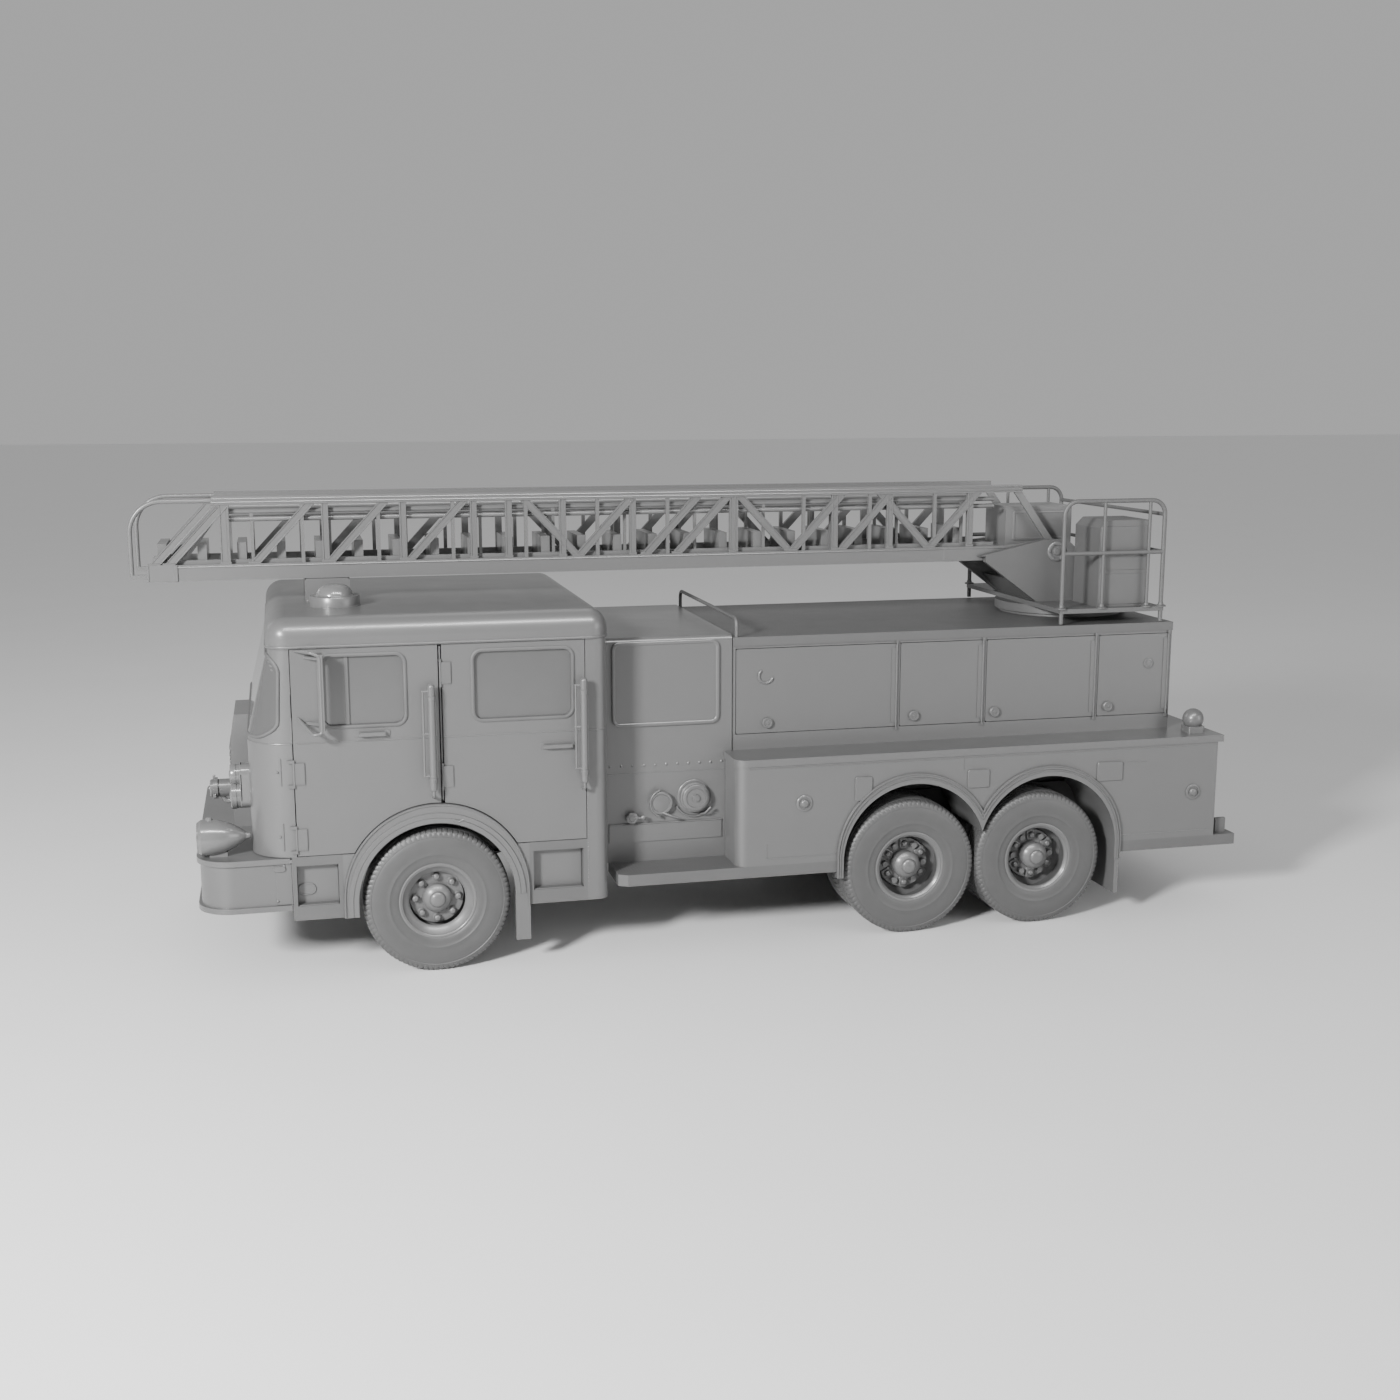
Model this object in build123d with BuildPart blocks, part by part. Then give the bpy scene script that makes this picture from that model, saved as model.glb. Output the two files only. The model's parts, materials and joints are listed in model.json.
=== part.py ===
"""Fire engine with a turntable ladder over its rear deck, full size, in millimetres.

+X points to the front, +Y to the left and +Z up. The origin lies on the ground at mid-length.
Distances called "ahead" or "behind" are counted from the front axle.
"""
import os

from build123d import *

os.makedirs("parts", exist_ok=True)

# Overall size
front_reach = 2014.0  # front axle to the ladder's front bows
rear_reach = 6249.0  # front axle to the tail step's rear edge
body_half = 1275.0  # half the width over the cab and the lower body
axle_x = (rear_reach - front_reach) / 2

# Clearances
pin_gap = 0.3  # pins in bores, slides and close fits
door_gap = 5.0  # around doors
swing_room = 8.0  # around what turns past a fixed piece

# Wheels and tyres
tyre_r = 518.0
tyre_width = 270.0
rim_r = 292.0
rim_width = 230.0
rim_wall = 12.0
rim_lip = 16.0
rim_mouth = 250.0  # radius of the rim's outer mouth
rim_mouth_deep = 24.0
wheel_inset = 10.0  # tyre's outer face inside the body's side
rear_axle = 3535.0  # first rear axle, behind the front axle
tandem = 1047.0  # between the two rear axles
dual_pitch = 300.0  # between the twin tyres' centres
hub_r = 100.0
disc_r = 190.0  # flat of the wheel disc
spindle_r = 45.0
rear_spindle_r = 60.0
nut_circle = 152.0
nut_r = 22.0

# Chassis
frame_top = 907.0
rail_height = 250.0
rail_out = 430.0  # rail's outer face from the middle
rail_flange = 80.0
rail_wall = 10.0
cross_height = 120.0
cross_width = 100.0

# Front axle and steering
kingpin_y = 950.0
kingpin_r = 22.0
kingpin_boss_r = 48.0
kingpin_boss_height = 130.0
fork_ear = 38.0
beam_height = 110.0
beam_width = 90.0
beam_drop = 75.0  # beam's middle below the hubs
spring_y = 390.0
leaf_width = 80.0
leaf_thick = 16.0
spring_half = 560.0

# Cab
door_front = 948.0  # front door's front edge, ahead
door_split = -55.0  # rear door's hinge line
cab_post = -1067.0  # rear door's rear edge
cab_back = -1228.0
cab_wall = 60.0
roof_lip = 2352.0
roof_top = 2556.0
roof_round = 135.0
roof_over = 16.0
roof_wall = 50.0
cradle_x = 650.0
cradle_length = 320.0
cradle_gap = 10.0
belt_z = 1700.0
nose_low = 1250.0  # front panel below the belt, ahead
nose_high = 1085.0  # front panel at the roof
nose_low_round = 290.0
nose_high_round = 125.0
post_bottom = 454.0
post_round = 90.0
floor_thick = 50.0
screen_half = 1222.0
screen_low = 1745.0
screen_high = 2268.0
screen_round = 110.0
glass_thick = 12.0
glass_set = 20.0  # panes behind the outer face
front_window = (190.0, 738.0)  # rear and front edges, ahead
rear_window = (-971.0, -284.0)
window_low = 1810.0
window_high = 2290.0
window_round = 60.0
step_low = 555.0  # step well below the doors
step_high = 842.0
step_depth = 200.0
step_box = 270.0
step_frame = 30.0
pillar_width = 60.0
pillar_deep = 70.0
seat_in = 380.0
seat_out = 900.0
seat_height = 160.0
seat_back = 760.0
dash_half = 940.0

# Front wheel arch
arch_z = 582.0  # centre of the outer curve
arch_out = 648.0
arch_wall = 20.0
arch_in = 545.0
arch_in_z = 545.0
arch_bottom = 450.0
arch_proud = 15.0
flare_depth = 55.0
well_depth = 575.0
flap_bottom = 200.0
flap_thick = 10.0
rear_flap_thick = 35.0
flap_width = 560.0
arch_gap = 6.0

# Door hinges
hinge_r = 7.0
hinge_pin_r = 4.0
hinge_out = 9.0  # hinge line outside the door's face
hinge_length = 150.0
front_hinges = (1030.0, 1492.0)
rear_hinges = (1420.0, 2150.0)
lug_height = 22.0
grab_r = 25.0
grab_foot_r = 12.0
grab_rod_r = 8.0
grab_rod_ahead = 58.0
grab_out = 75.0
grab_low = 1352.0
grab_high = 2066.0
front_handle = (329.0, 504.0)  # rear and front ends, ahead
front_handle_z = 1749.0
rear_handle = (-963.0, -762.0)
rear_handle_z = 1600.0
mirror_in = 70.0
mirror_out = 165.0
mirror_low = 1800.0
mirror_high = 2330.0

# Bumper and nose
bumper_back = 1000.0
bumper_front = 1627.0
bumper_top = 902.0
bumper_bottom = 529.0
bumper_round = 250.0
bumper_wall = 30.0
bumper_flange = 38.0
bumper_lip = 22.0
nose_box_front = 1388.0
nose_box_half = 300.0
nose_box_top = 1740.0
lamp_y = 850.0
lamp_z = 1340.0
lamp_r = 68.0
lamp_front = 1371.0
lamp_bezel_width = 190.0
lamp_bezel_height = 308.0
lamp_bezel_round = 60.0
lamp_bezel_deep = 60.0
siren_y = 1075.0
siren_r = 125.0
siren_front = 1605.0
siren_length = 345.0
inlet_r = 66.0
inlet_front = 1546.0
inlet_z = 1134.0
beacon_x = 612.0
beacon_y = 600.0
beacon_base_r = 176.0
beacon_r = 134.0
beacon_drum = 42.0
beacon_dome = 95.0
beacon_top = 2708.0

# Pump house and running boards
pump_front = -1240.0
pump_back = -2228.0
pump_half = 920.0
pump_top = 2290.0
pump_wall = 40.0
board_top = 614.0
board_thick = 85.0
board_front = -1297.0
board_chamfer = 66.0
board_inner = 850.0
pump_round = 40.0
panel_front = -1321.0
panel_back = -2128.0
panel_low = 1635.0
panel_high = 2262.0
panel_round = 60.0
panel_proud = 12.0
strip_front = -1292.0
strip_back = -2147.0
strip_low = 765.0
strip_high = 905.0
# Pump inlets: place ahead, height, radius, length
pump_inlets = ((-1938.0, 1085.0, 105.0, 60.0), (-1679.0, 1055.0, 88.0, 40.0), (-1459.0, 954.0, 38.0, 45.0))

# Rear body
lower_front = -2175.0
lower_back = -6062.0
ledge_top = 1416.0
ledge_thick = 53.0
ledge_back = -6105.0
ledge_over = 10.0
lower_wall = 40.0
lower_round = 80.0
rear_arch_out = 612.0
rear_arch_in = 565.0
rear_arch_top = 1251.0
rear_arch_in_top = 1170.0
rear_arch_first = 25.0  # first arch's middle behind its axle
rear_arch_second = 58.0
rear_arch_bottom = 480.0
rear_well = 600.0
upper_front = -2235.0
upper_back = -5823.0
upper_half = 907.0
deck_under = 2199.0
deck_top = 2266.0
deck_half = 920.0
face_thick = 40.0
locker_sill = 1533.0
locker_head = 2180.0
locker_wall = 24.0
locker_door_thick = 30.0
locker_posts = (-3540.0, -4243.0, -5186.0)  # middles of the posts between the doors
post_width = 24.0
locker_door_round = 12.0
latch_places = (245.0, 116.0, 75.0, 89.0)  # behind each door opening's front edge
latch_z = 1614.0
latch_r = 40.0
latch_out = 20.0
deck_rail_x = -2267.0
deck_rail_top = 2404.0
deck_rail_r = 14.0
deck_rail_bend = 60.0
ball_lamp_x = -5935.0
ball_lamp_y = 1100.0
ball_lamp_r = 82.0
ball_lamp_rise = 52.0
lamp_base = 140.0
lamp_base_round = 20.0
lamp_base_height = 50.0

# Turntable
slew_x = -5290.0
slew_ring_r = 500.0
slew_ring_top = 2290.0
platform_front = -4850.0
platform_back = -5730.0
platform_half = 921.0
platform_top = 2392.0
platform_thick = 35.0
platform_leg = 2276.0
guard_mid_rise = 428.0  # middle rail above the platform
guard_rise = 400.0  # top rail above the middle rail
guard_r = 17.0
guard_bend = 110.0
guard_posts = (-5205.0, -5587.0)
cheek_in = 345.0
cheek_thick = 55.0
cheek_front = -4448.0
cheek_foot = -4890.0
cheek_back = -5450.0
heel_x = -5050.0  # ladder's elevation pins
heel_z = 2790.0
heel_pin_r = 45.0
heel_round = 95.0
pedestal_top = 2550.0
console_front = -5198.0
console_back = -5610.0
console_in = 425.0
console_out = 850.0
console_top = 3066.0
console_slope = 60.0

# Ladder
ladder_half = 328.0
rail_width = 45.0
low_rail_bottom = 2723.0
low_rail_height = 115.0
truss_height = 422.0  # between the low and the high rails
high_rail_height = 58.0
low_rail_front = 1881.0
collar_back = 1683.0
collar_grow = 4.0
low_rail_back = -4636.0
high_rail_front = 1434.0
high_rail_back = -4772.0
strut = 26.0
bed_post_front = 1351.0
bed_post_pitch = 539.0
bed_posts = 11
brace_run = 400.0
bow_r = 17.0
bow_bend = 225.0
rung_pitch = 356.0
rung_width = 60.0
rung_height = 32.0
bed_rungs = 17
slide_ledge = 33.0
slide_thick = 22.0
winch_back = -5270.0
winch_half = 200.0
winch_top = 3140.0
fly_half = 272.0
fly_rail = 36.0
fly_rail_height = 90.0
fly_front = 1840.0
fly_back = -4560.0
fly_tube_r = 18.0
fly_tube_front = 1384.0
fly_tube_rise = 287.0  # lower tube above the fly's rail
fly_tube_pitch = 56.0
fly_post_front = 1163.0
fly_post_pitch = 545.0
fly_posts = 11
fly_rungs = 23
fly_rung_pitch = 275.0
fly_rung_width = 64.0
fly_rung_drop = 40.0  # below the top of the fly's rails
fly_rung_rise = 118.0  # above the top of the fly's rails

hub_z = tyre_r
wheel_out = body_half - wheel_inset
wheel_mid = wheel_out - tyre_width / 2
rail_bottom = frame_top - rail_height
slide_top = low_rail_bottom + 51.7
fly_low_bottom = slide_top + pin_gap
fly_low_top = fly_low_bottom + fly_rail_height
fly_tube_low = fly_low_top + fly_tube_rise
fly_tube_high = fly_tube_low + fly_tube_pitch
low_rail_top = low_rail_bottom + low_rail_height
high_rail_bottom = low_rail_top + truss_height
high_rail_top = high_rail_bottom + high_rail_height
hinge_line = body_half + hinge_out
locker_line = upper_half + hinge_out
rear_wheels = (-rear_axle, -rear_axle - tandem)
rear_arches = (-rear_axle - rear_arch_first, -rear_axle - tandem - rear_arch_second)
well_in = body_half - arch_proud - well_depth


def ahead(distance):
    """X of a place counted from the front axle."""
    return axle_x + distance


def side(y):
    """Plane across the vehicle at y, drawn in X and Z, that extrudes towards -Y."""
    return Plane.XZ.offset(-y)


def slab(x, y, z, mode=Mode.ADD):
    """Rectangular piece from three (low, high) pairs."""
    with Locations(((x[0] + x[1]) / 2, (y[0] + y[1]) / 2, (z[0] + z[1]) / 2)):
        Box(abs(x[1] - x[0]), abs(y[1] - y[0]), abs(z[1] - z[0]), mode=mode)


def bar(start, end, radius):
    """Round bar between two points."""
    run = Vector(*end) - Vector(*start)
    with Locations(Plane(origin=start, z_dir=run)):
        Cylinder(radius, run.length, align=(Align.CENTER, Align.CENTER, Align.MIN))


def polygon(*points):
    """Straight-sided profile at its own coordinates."""
    Polygon(*points, align=(Align.NONE, Align.NONE))


def save(piece, node):
    """Label a finished piece and write it as one file."""
    piece.part.label = node
    export_step(piece.part, f"parts/{node}.step")


def wheel_plane(x):
    """Plane through a hub's axis: drawn across (Y) and outwards from the axis (Z)."""
    return Plane(origin=(ahead(x), 0, hub_z), x_dir=(0, 1, 0), z_dir=(1, 0, 0))


def wheel_axis(x):
    """The line that a wheel turns about."""
    return Axis((ahead(x), 0, hub_z), (0, 1, 0))


def arch_shape(x, top, radius, bottom):
    """Wheel opening: a half round on straight sides, cut off level at the bottom."""
    with Locations((ahead(x), top - radius)):
        Circle(radius)
    with Locations((ahead(x), top - 2 * radius)):
        Rectangle(2 * radius, 2 * radius)
    with Locations((ahead(x), bottom - 2 * radius)):
        Rectangle(2 * radius, 4 * radius, mode=Mode.SUBTRACT)


# Chassis frame: two channel rails with cross members
rail_front = nose_low - 10.0
rail_back = lower_back + lower_wall
cross_places = (1150.0, 760.0, -760.0, -1700.0, -2700.0, -4058.0, -5250.0, -5900.0)
with BuildPart() as chassis_frame:
    with BuildSketch(Plane.YZ.offset(ahead(rail_back))):
        with Locations((rail_out - rail_flange / 2, rail_bottom + rail_height / 2)):
            Rectangle(rail_flange, rail_height)
        with Locations((rail_out - rail_wall - rail_flange / 2, rail_bottom + rail_height / 2)):
            Rectangle(rail_flange, rail_height - 2 * rail_wall, mode=Mode.SUBTRACT)
        mirror(about=Plane.YZ)
    extrude(amount=rail_front - rail_back)
    with Locations(*[(ahead(x), 0, rail_bottom + rail_height / 2) for x in cross_places]):
        Box(cross_width, 2 * (rail_out - rail_wall), cross_height)
save(chassis_frame, "chassis_frame")

# Engine: one plain block on four feet that stand in the rails
engine_half = rail_out - rail_flange - 20.0
engine_reach = 600.0
engine_foot = 60.0
with BuildPart() as engine_block:
    slab((ahead(-engine_reach), ahead(engine_reach)), (-engine_half, engine_half), (600.0, 1180.0))
    chamfer(engine_block.edges().filter_by(Axis.X).group_by(Axis.Z)[-1], 90.0)
    with Locations(*[
        (ahead(x), y * (engine_half + rail_out - rail_wall) / 2, rail_bottom + rail_wall + engine_foot / 2)
        for x in (-430.0, 430.0)
        for y in (-1, 1)
    ]):
        Box(engine_foot, rail_out - rail_wall - engine_half, engine_foot)
save(engine_block, "engine_block")


def leaf_spring(x, seat, half, leaves):
    """Leaves in a curve from a seat on the axle up to the rail, and their two hangers."""
    rise = rail_bottom - seat - leaves * leaf_thick - 25.0
    for leaf in range(leaves):
        reach = half * (1 - 0.22 * (leaves - 1 - leaf))
        low = seat + leaf * leaf_thick
        tip = low + rise * (reach / half) ** 2
        with BuildSketch(side(spring_y + leaf_width / 2)) as profile:
            with BuildLine():
                lower = ThreePointArc((ahead(x - reach), tip), (ahead(x), low), (ahead(x + reach), tip))
                upper = ThreePointArc(
                    (ahead(x - reach), tip + leaf_thick),
                    (ahead(x), low + leaf_thick),
                    (ahead(x + reach), tip + leaf_thick),
                )
                Line(lower @ 0, upper @ 0)
                Line(lower @ 1, upper @ 1)
            make_face()
        extrude(profile.sketch, amount=leaf_width)
    hanger = seat + (leaves - 1) * leaf_thick + rise
    for end in (-1, 1):
        slab(
            (ahead(x + end * half - 25.0), ahead(x + end * half + 25.0)),
            (spring_y - leaf_width / 2, spring_y + leaf_width / 2),
            (hanger, rail_bottom),
        )


# Front axle: a dropped beam with kingpin eyes, and its leaf springs
beam_z = hub_z - beam_drop
beam_top = beam_z + beam_height / 2
with BuildPart() as front_axle:
    with BuildSketch(Plane.YZ.offset(ahead(-beam_width / 2))):
        polygon(
            (0, beam_z - beam_height / 2),
            (kingpin_y - 250.0, beam_z - beam_height / 2),
            (kingpin_y - kingpin_boss_r - 2 * swing_room, hub_z - beam_height / 2),
            (kingpin_y, hub_z - beam_height / 2),
            (kingpin_y, hub_z + beam_height / 2),
            (kingpin_y - 160.0, hub_z + beam_height / 2),
            (kingpin_y - 300.0, beam_top),
            (0, beam_top),
        )
        mirror(about=Plane.YZ)
    extrude(amount=beam_width)
    with Locations(*[(axle_x, y * kingpin_y, hub_z) for y in (-1, 1)]):
        Cylinder(kingpin_boss_r, kingpin_boss_height)
        Cylinder(kingpin_r + pin_gap, kingpin_boss_height, mode=Mode.SUBTRACT)
    leaf_spring(0.0, beam_top, spring_half, 4)
    mirror(about=Plane.XZ)
save(front_axle, "front_axle")

# Rear axles: two banjo housings with spindles and leaf springs
tube_r = 72.0
banjo_r = 190.0
rear_shoulder = wheel_out - tyre_width - dual_pitch - 25.0
rear_spindle_end = wheel_out - 95.0
with BuildPart() as rear_axles:
    for place in rear_wheels:
        with BuildSketch(wheel_plane(place)):
            with BuildLine():
                Polyline((-1, 0), (-1, banjo_r), (110.0, banjo_r))
                ThreePointArc((110.0, banjo_r), (190.0, 140.0), (290.0, tube_r))
                Polyline(
                    (290.0, tube_r),
                    (rear_shoulder, tube_r),
                    (rear_shoulder, rear_spindle_r),
                    (rear_spindle_end, rear_spindle_r),
                    (rear_spindle_end, 0),
                    (-1, 0),
                )
            make_face()
        revolve(axis=wheel_axis(place))
        leaf_spring(place, hub_z + tube_r - 4.0, tandem / 2 - 60.0, 2)
    mirror(about=Plane.XZ)
save(rear_axles, "rear_axles")

# Steering knuckles: a fork over the axle's eye, its kingpin and the wheel's spindle
spindle_end = wheel_out - 110.0
fork_gap = kingpin_boss_height / 2 + pin_gap
fork_web = kingpin_y + kingpin_boss_r + swing_room
with BuildPart() as steering_knuckle_left:
    with Locations((axle_x, kingpin_y, hub_z)):
        Cylinder(kingpin_r, 2 * (fork_gap + fork_ear))
    for ear in (-1, 1):
        with BuildSketch(Plane.XY.offset(hub_z + (fork_gap if ear > 0 else -fork_gap - fork_ear))):
            with Locations((axle_x, kingpin_y)):
                Circle(kingpin_boss_r)
            with Locations((axle_x, (kingpin_y + fork_web + 25.0) / 2)):
                Rectangle(2 * kingpin_boss_r, fork_web + 25.0 - kingpin_y)
        extrude(amount=fork_ear)
    slab(
        (axle_x - kingpin_boss_r, axle_x + kingpin_boss_r),
        (fork_web, fork_web + 25.0),
        (hub_z - fork_gap - fork_ear, hub_z + fork_gap + fork_ear),
    )
    bar((axle_x, fork_web, hub_z), (axle_x, spindle_end, hub_z), spindle_r)
save(steering_knuckle_left, "steering_knuckle_left")
with BuildPart() as steering_knuckle_right:
    mirror(steering_knuckle_left.part, about=Plane.XZ)
save(steering_knuckle_right, "steering_knuckle_right")


def tyre(x, middle):
    """One tyre: flat tread, rounded shoulders, bulged walls and beads on the rim."""
    bead = rim_width / 2 - rim_lip - pin_gap
    crown = tyre_width * 0.36
    bulge = tyre_width / 2
    bore = rim_r + pin_gap
    with BuildSketch(wheel_plane(x)) as profile:
        with BuildLine():
            Line((middle - bead, bore), (middle + bead, bore))
            Line((middle - crown, tyre_r), (middle + crown, tyre_r))
            for out in (-1, 1):
                Line((middle + out * bead, bore), (middle + out * bead, bore + rim_lip + 6.0))
                ThreePointArc(
                    (middle + out * bead, bore + rim_lip + 6.0),
                    (middle + out * bulge, rim_r + 0.5 * (tyre_r - rim_r)),
                    (middle + out * (bulge - 14.0), tyre_r - 30.0),
                )
                Line((middle + out * (bulge - 14.0), tyre_r - 30.0), (middle + out * crown, tyre_r))
        make_face()
    revolve(profile.sketch, axis=wheel_axis(x))


def rim(x, middle):
    """Rolled rim with a lip at each edge."""
    half = rim_width / 2
    lip = rim_r + rim_lip
    with BuildSketch(wheel_plane(x)) as profile:
        polygon(
            (middle - half, rim_r - rim_wall),
            (middle + half - 2 * rim_mouth_deep, rim_r - rim_wall),
            (middle + half - rim_mouth_deep, rim_mouth),
            (middle + half, rim_mouth),
            (middle + half, lip),
            (middle + half - rim_lip, lip),
            (middle + half - rim_lip, rim_r),
            (middle - half + rim_lip, rim_r),
            (middle - half + rim_lip, lip),
            (middle - half, lip),
        )
    revolve(profile.sketch, axis=wheel_axis(x))


def disc(x, face, root, bore, hub_in, hub_out):
    """Dished wheel disc with a domed hub round its bore."""
    rim_in = rim_r - rim_wall
    cap = hub_out + 38.0
    with BuildSketch(wheel_plane(x)) as profile:
        with BuildLine():
            Polyline(
                (hub_out, hub_r),
                (face, hub_r),
                (face, disc_r),
                (root, disc_r + 12.0),
                (root, rim_in + 1.0),
                (root - 16.0, rim_in + 1.0),
                (root - 16.0, disc_r - 4.0),
                (face - 16.0, disc_r - 4.0),
                (face - 16.0, hub_r),
                (hub_in, hub_r),
                (hub_in, bore),
                (hub_out - 25.0, bore),
                (hub_out - 25.0, 0),
                (cap, 0),
            )
            ThreePointArc((cap, 0), (hub_out + 28.0, 0.62 * hub_r), (hub_out, hub_r))
        make_face()
    revolve(profile.sketch, axis=wheel_axis(x))


def wheel_studs(x, face, count):
    """Ring of wheel nuts on the disc."""
    with Locations(Plane(origin=(ahead(x), face, hub_z), x_dir=(1, 0, 0), z_dir=(0, 1, 0))):
        with PolarLocations(nut_circle, count):
            Cylinder(nut_r, 34.0, align=(Align.CENTER, Align.CENTER, Align.MIN))


# Front wheels: one dished disc each
front_disc_face = wheel_mid + 5.0
front_hub_out = front_disc_face + 50.0
front_hub_in = fork_web + 25.0 + swing_room
with BuildPart() as front_wheel_left:
    rim(0.0, wheel_mid)
    disc(0.0, front_disc_face, wheel_mid - 40.0, spindle_r + pin_gap, front_hub_in, front_hub_out)
    wheel_studs(0.0, front_disc_face, 8)
save(front_wheel_left, "front_wheel_left")
with BuildPart() as front_wheel_right:
    mirror(front_wheel_left.part, about=Plane.XZ)
save(front_wheel_right, "front_wheel_right")
with BuildPart() as front_tyre_left:
    tyre(0.0, wheel_mid)
save(front_tyre_left, "front_tyre_left")
with BuildPart() as front_tyre_right:
    mirror(front_tyre_left.part, about=Plane.XZ)
save(front_tyre_right, "front_tyre_right")

# Rear wheels: twin rims on one hub, with six clamp lugs
inner_mid = wheel_mid - dual_pitch
rear_disc_face = wheel_mid - 30.0
rear_hub_in = rear_shoulder + swing_room
for number, place in enumerate(rear_wheels, start=1):
    with BuildPart() as twin_wheel:
        rim(place, wheel_mid)
        rim(place, inner_mid)
        disc(place, rear_disc_face, wheel_mid - 70.0, rear_spindle_r + pin_gap, rear_hub_in, wheel_out - 70.0)
        with BuildSketch(wheel_plane(place)):
            polygon(
                (inner_mid + rim_width / 2 - 4.0, rim_r - rim_wall - 6.0),
                (inner_mid + rim_width / 2 - 4.0, rim_r),
                (wheel_mid - rim_width / 2 + 4.0, rim_r),
                (wheel_mid - rim_width / 2 + 4.0, rim_r - rim_wall - 6.0),
            )
        revolve(axis=wheel_axis(place))
        wheel_studs(place, rear_disc_face, 6)
    save(twin_wheel, f"rear_wheel_{number}_left")
    with BuildPart() as twin_wheel_right:
        mirror(twin_wheel.part, about=Plane.XZ)
    save(twin_wheel_right, f"rear_wheel_{number}_right")
    with BuildPart() as twin_tyres:
        tyre(place, wheel_mid)
        tyre(place, inner_mid)
    save(twin_tyres, f"rear_tyres_{number}_left")
    with BuildPart() as twin_tyres_right:
        mirror(twin_tyres.part, about=Plane.XZ)
    save(twin_tyres_right, f"rear_tyres_{number}_right")

# Cab floor: low at the feet, raised over the wheels, with the posts between the doors
door_thick = cab_wall
floor_half = body_half - door_thick - door_gap
raised_under = arch_z + arch_out + pin_gap
raised_half = arch_out + 17.0
floor_front = nose_low - cab_wall
floor_back = cab_back + cab_wall
with BuildPart() as cab_floor:
    with BuildSketch(side(floor_half)):
        polygon(
            (ahead(floor_back), frame_top),
            (ahead(-raised_half), frame_top),
            (ahead(-raised_half), raised_under),
            (ahead(raised_half), raised_under),
            (ahead(raised_half), frame_top),
            (ahead(floor_front), frame_top),
            (ahead(floor_front), frame_top + floor_thick),
            (ahead(raised_half + floor_thick), frame_top + floor_thick),
            (ahead(raised_half + floor_thick), raised_under + floor_thick),
            (ahead(-raised_half - floor_thick), raised_under + floor_thick),
            (ahead(-raised_half - floor_thick), frame_top + floor_thick),
            (ahead(floor_back), frame_top + floor_thick),
        )
    extrude(amount=2 * floor_half)
    chamfer(cab_floor.edges().filter_by(Axis.Z).group_by(Axis.X)[-1], nose_low_round - 40.0)
    chamfer(cab_floor.edges().filter_by(Axis.Z).group_by(Axis.X)[0], post_round - cab_wall)
    for out in (-1, 1):
        slab(
            (ahead(door_split - pillar_width / 2), ahead(door_split + pillar_width / 2)),
            (out * (floor_half - pillar_deep), out * floor_half),
            (raised_under, roof_lip),
        )
        for z in rear_hinges:
            for end in (-1, 1):
                middle = z + end * (hinge_length / 2 + pin_gap + lug_height / 2)
                slab(
                    (ahead(door_split - hinge_r), ahead(door_split + hinge_r)),
                    (out * (floor_half - 1.0), out * (hinge_line + hinge_r)),
                    (middle - lug_height / 2, middle + lug_height / 2),
                )
                with Locations((ahead(door_split), out * hinge_line, middle)):
                    Cylinder(hinge_pin_r + pin_gap, lug_height, mode=Mode.SUBTRACT)
save(cab_floor, "cab_floor")

# Cab front: side posts, front panel and windscreen frame in one shell
nose_back = door_front + door_gap


def nose_plan(z, front, corner, inset):
    """Plan of the cab's nose at one height, from the doors' front edge forward."""
    back = ahead(nose_back)
    reach = ahead(front - inset)
    with BuildSketch(Plane.XY.offset(z)) as plan:
        with Locations(((back + reach) / 2, 0)):
            Rectangle(reach - back, 2 * (body_half - inset))
        fillet(plan.vertices().group_by(Axis.X)[-1], corner - inset)
    return plan.sketch


def raked_nose(inset, mode):
    """Upper nose: from the belt up and back to the roof."""
    loft(
        [
            nose_plan(belt_z, nose_low, nose_low_round, inset),
            nose_plan(roof_lip, nose_high, nose_high_round, inset),
        ],
        mode=mode,
    )


def screen_opening(gap):
    """Windscreen outline, seen from the front."""
    with BuildSketch(Plane.YZ.offset(ahead(nose_back))) as opening:
        with Locations((0, (screen_low + screen_high) / 2)):
            RectangleRounded(
                2 * (screen_half - gap), screen_high - screen_low - 2 * gap, screen_round - gap
            )
    return opening.sketch


with BuildPart() as cab_front:
    extrude(nose_plan(frame_top, nose_low, nose_low_round, 0), amount=belt_z - frame_top)
    raked_nose(0, Mode.ADD)
    extrude(
        nose_plan(frame_top, nose_low, nose_low_round, cab_wall),
        amount=belt_z - frame_top,
        mode=Mode.SUBTRACT,
    )
    raked_nose(cab_wall, Mode.SUBTRACT)
    extrude(screen_opening(0), amount=nose_low - nose_back, mode=Mode.SUBTRACT)
    for out in (-1, 1):
        for z in front_hinges:
            for end in (-1, 1):
                middle = z + end * (hinge_length / 2 + pin_gap + lug_height / 2)
                lug_z = (middle - lug_height / 2, middle + lug_height / 2)
                slab(
                    (ahead(nose_back), ahead(nose_back + 36.0)),
                    (out * (body_half - 8.0), out * (hinge_line + hinge_r)),
                    lug_z,
                )
                slab(
                    (ahead(door_front), ahead(nose_back)),
                    (out * (hinge_line - hinge_r), out * (hinge_line + hinge_r)),
                    lug_z,
                )
                with Locations((ahead(door_front), out * hinge_line, middle)):
                    Cylinder(hinge_r, lug_height)
                    Cylinder(hinge_pin_r + pin_gap, lug_height, mode=Mode.SUBTRACT)
save(cab_front, "cab_front")

with BuildPart() as windscreen:
    raked_nose(glass_set, Mode.ADD)
    raked_nose(glass_set + glass_thick, Mode.SUBTRACT)
    extrude(screen_opening(pin_gap), amount=nose_low - nose_back, mode=Mode.INTERSECT)
save(windscreen, "windscreen")

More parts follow.
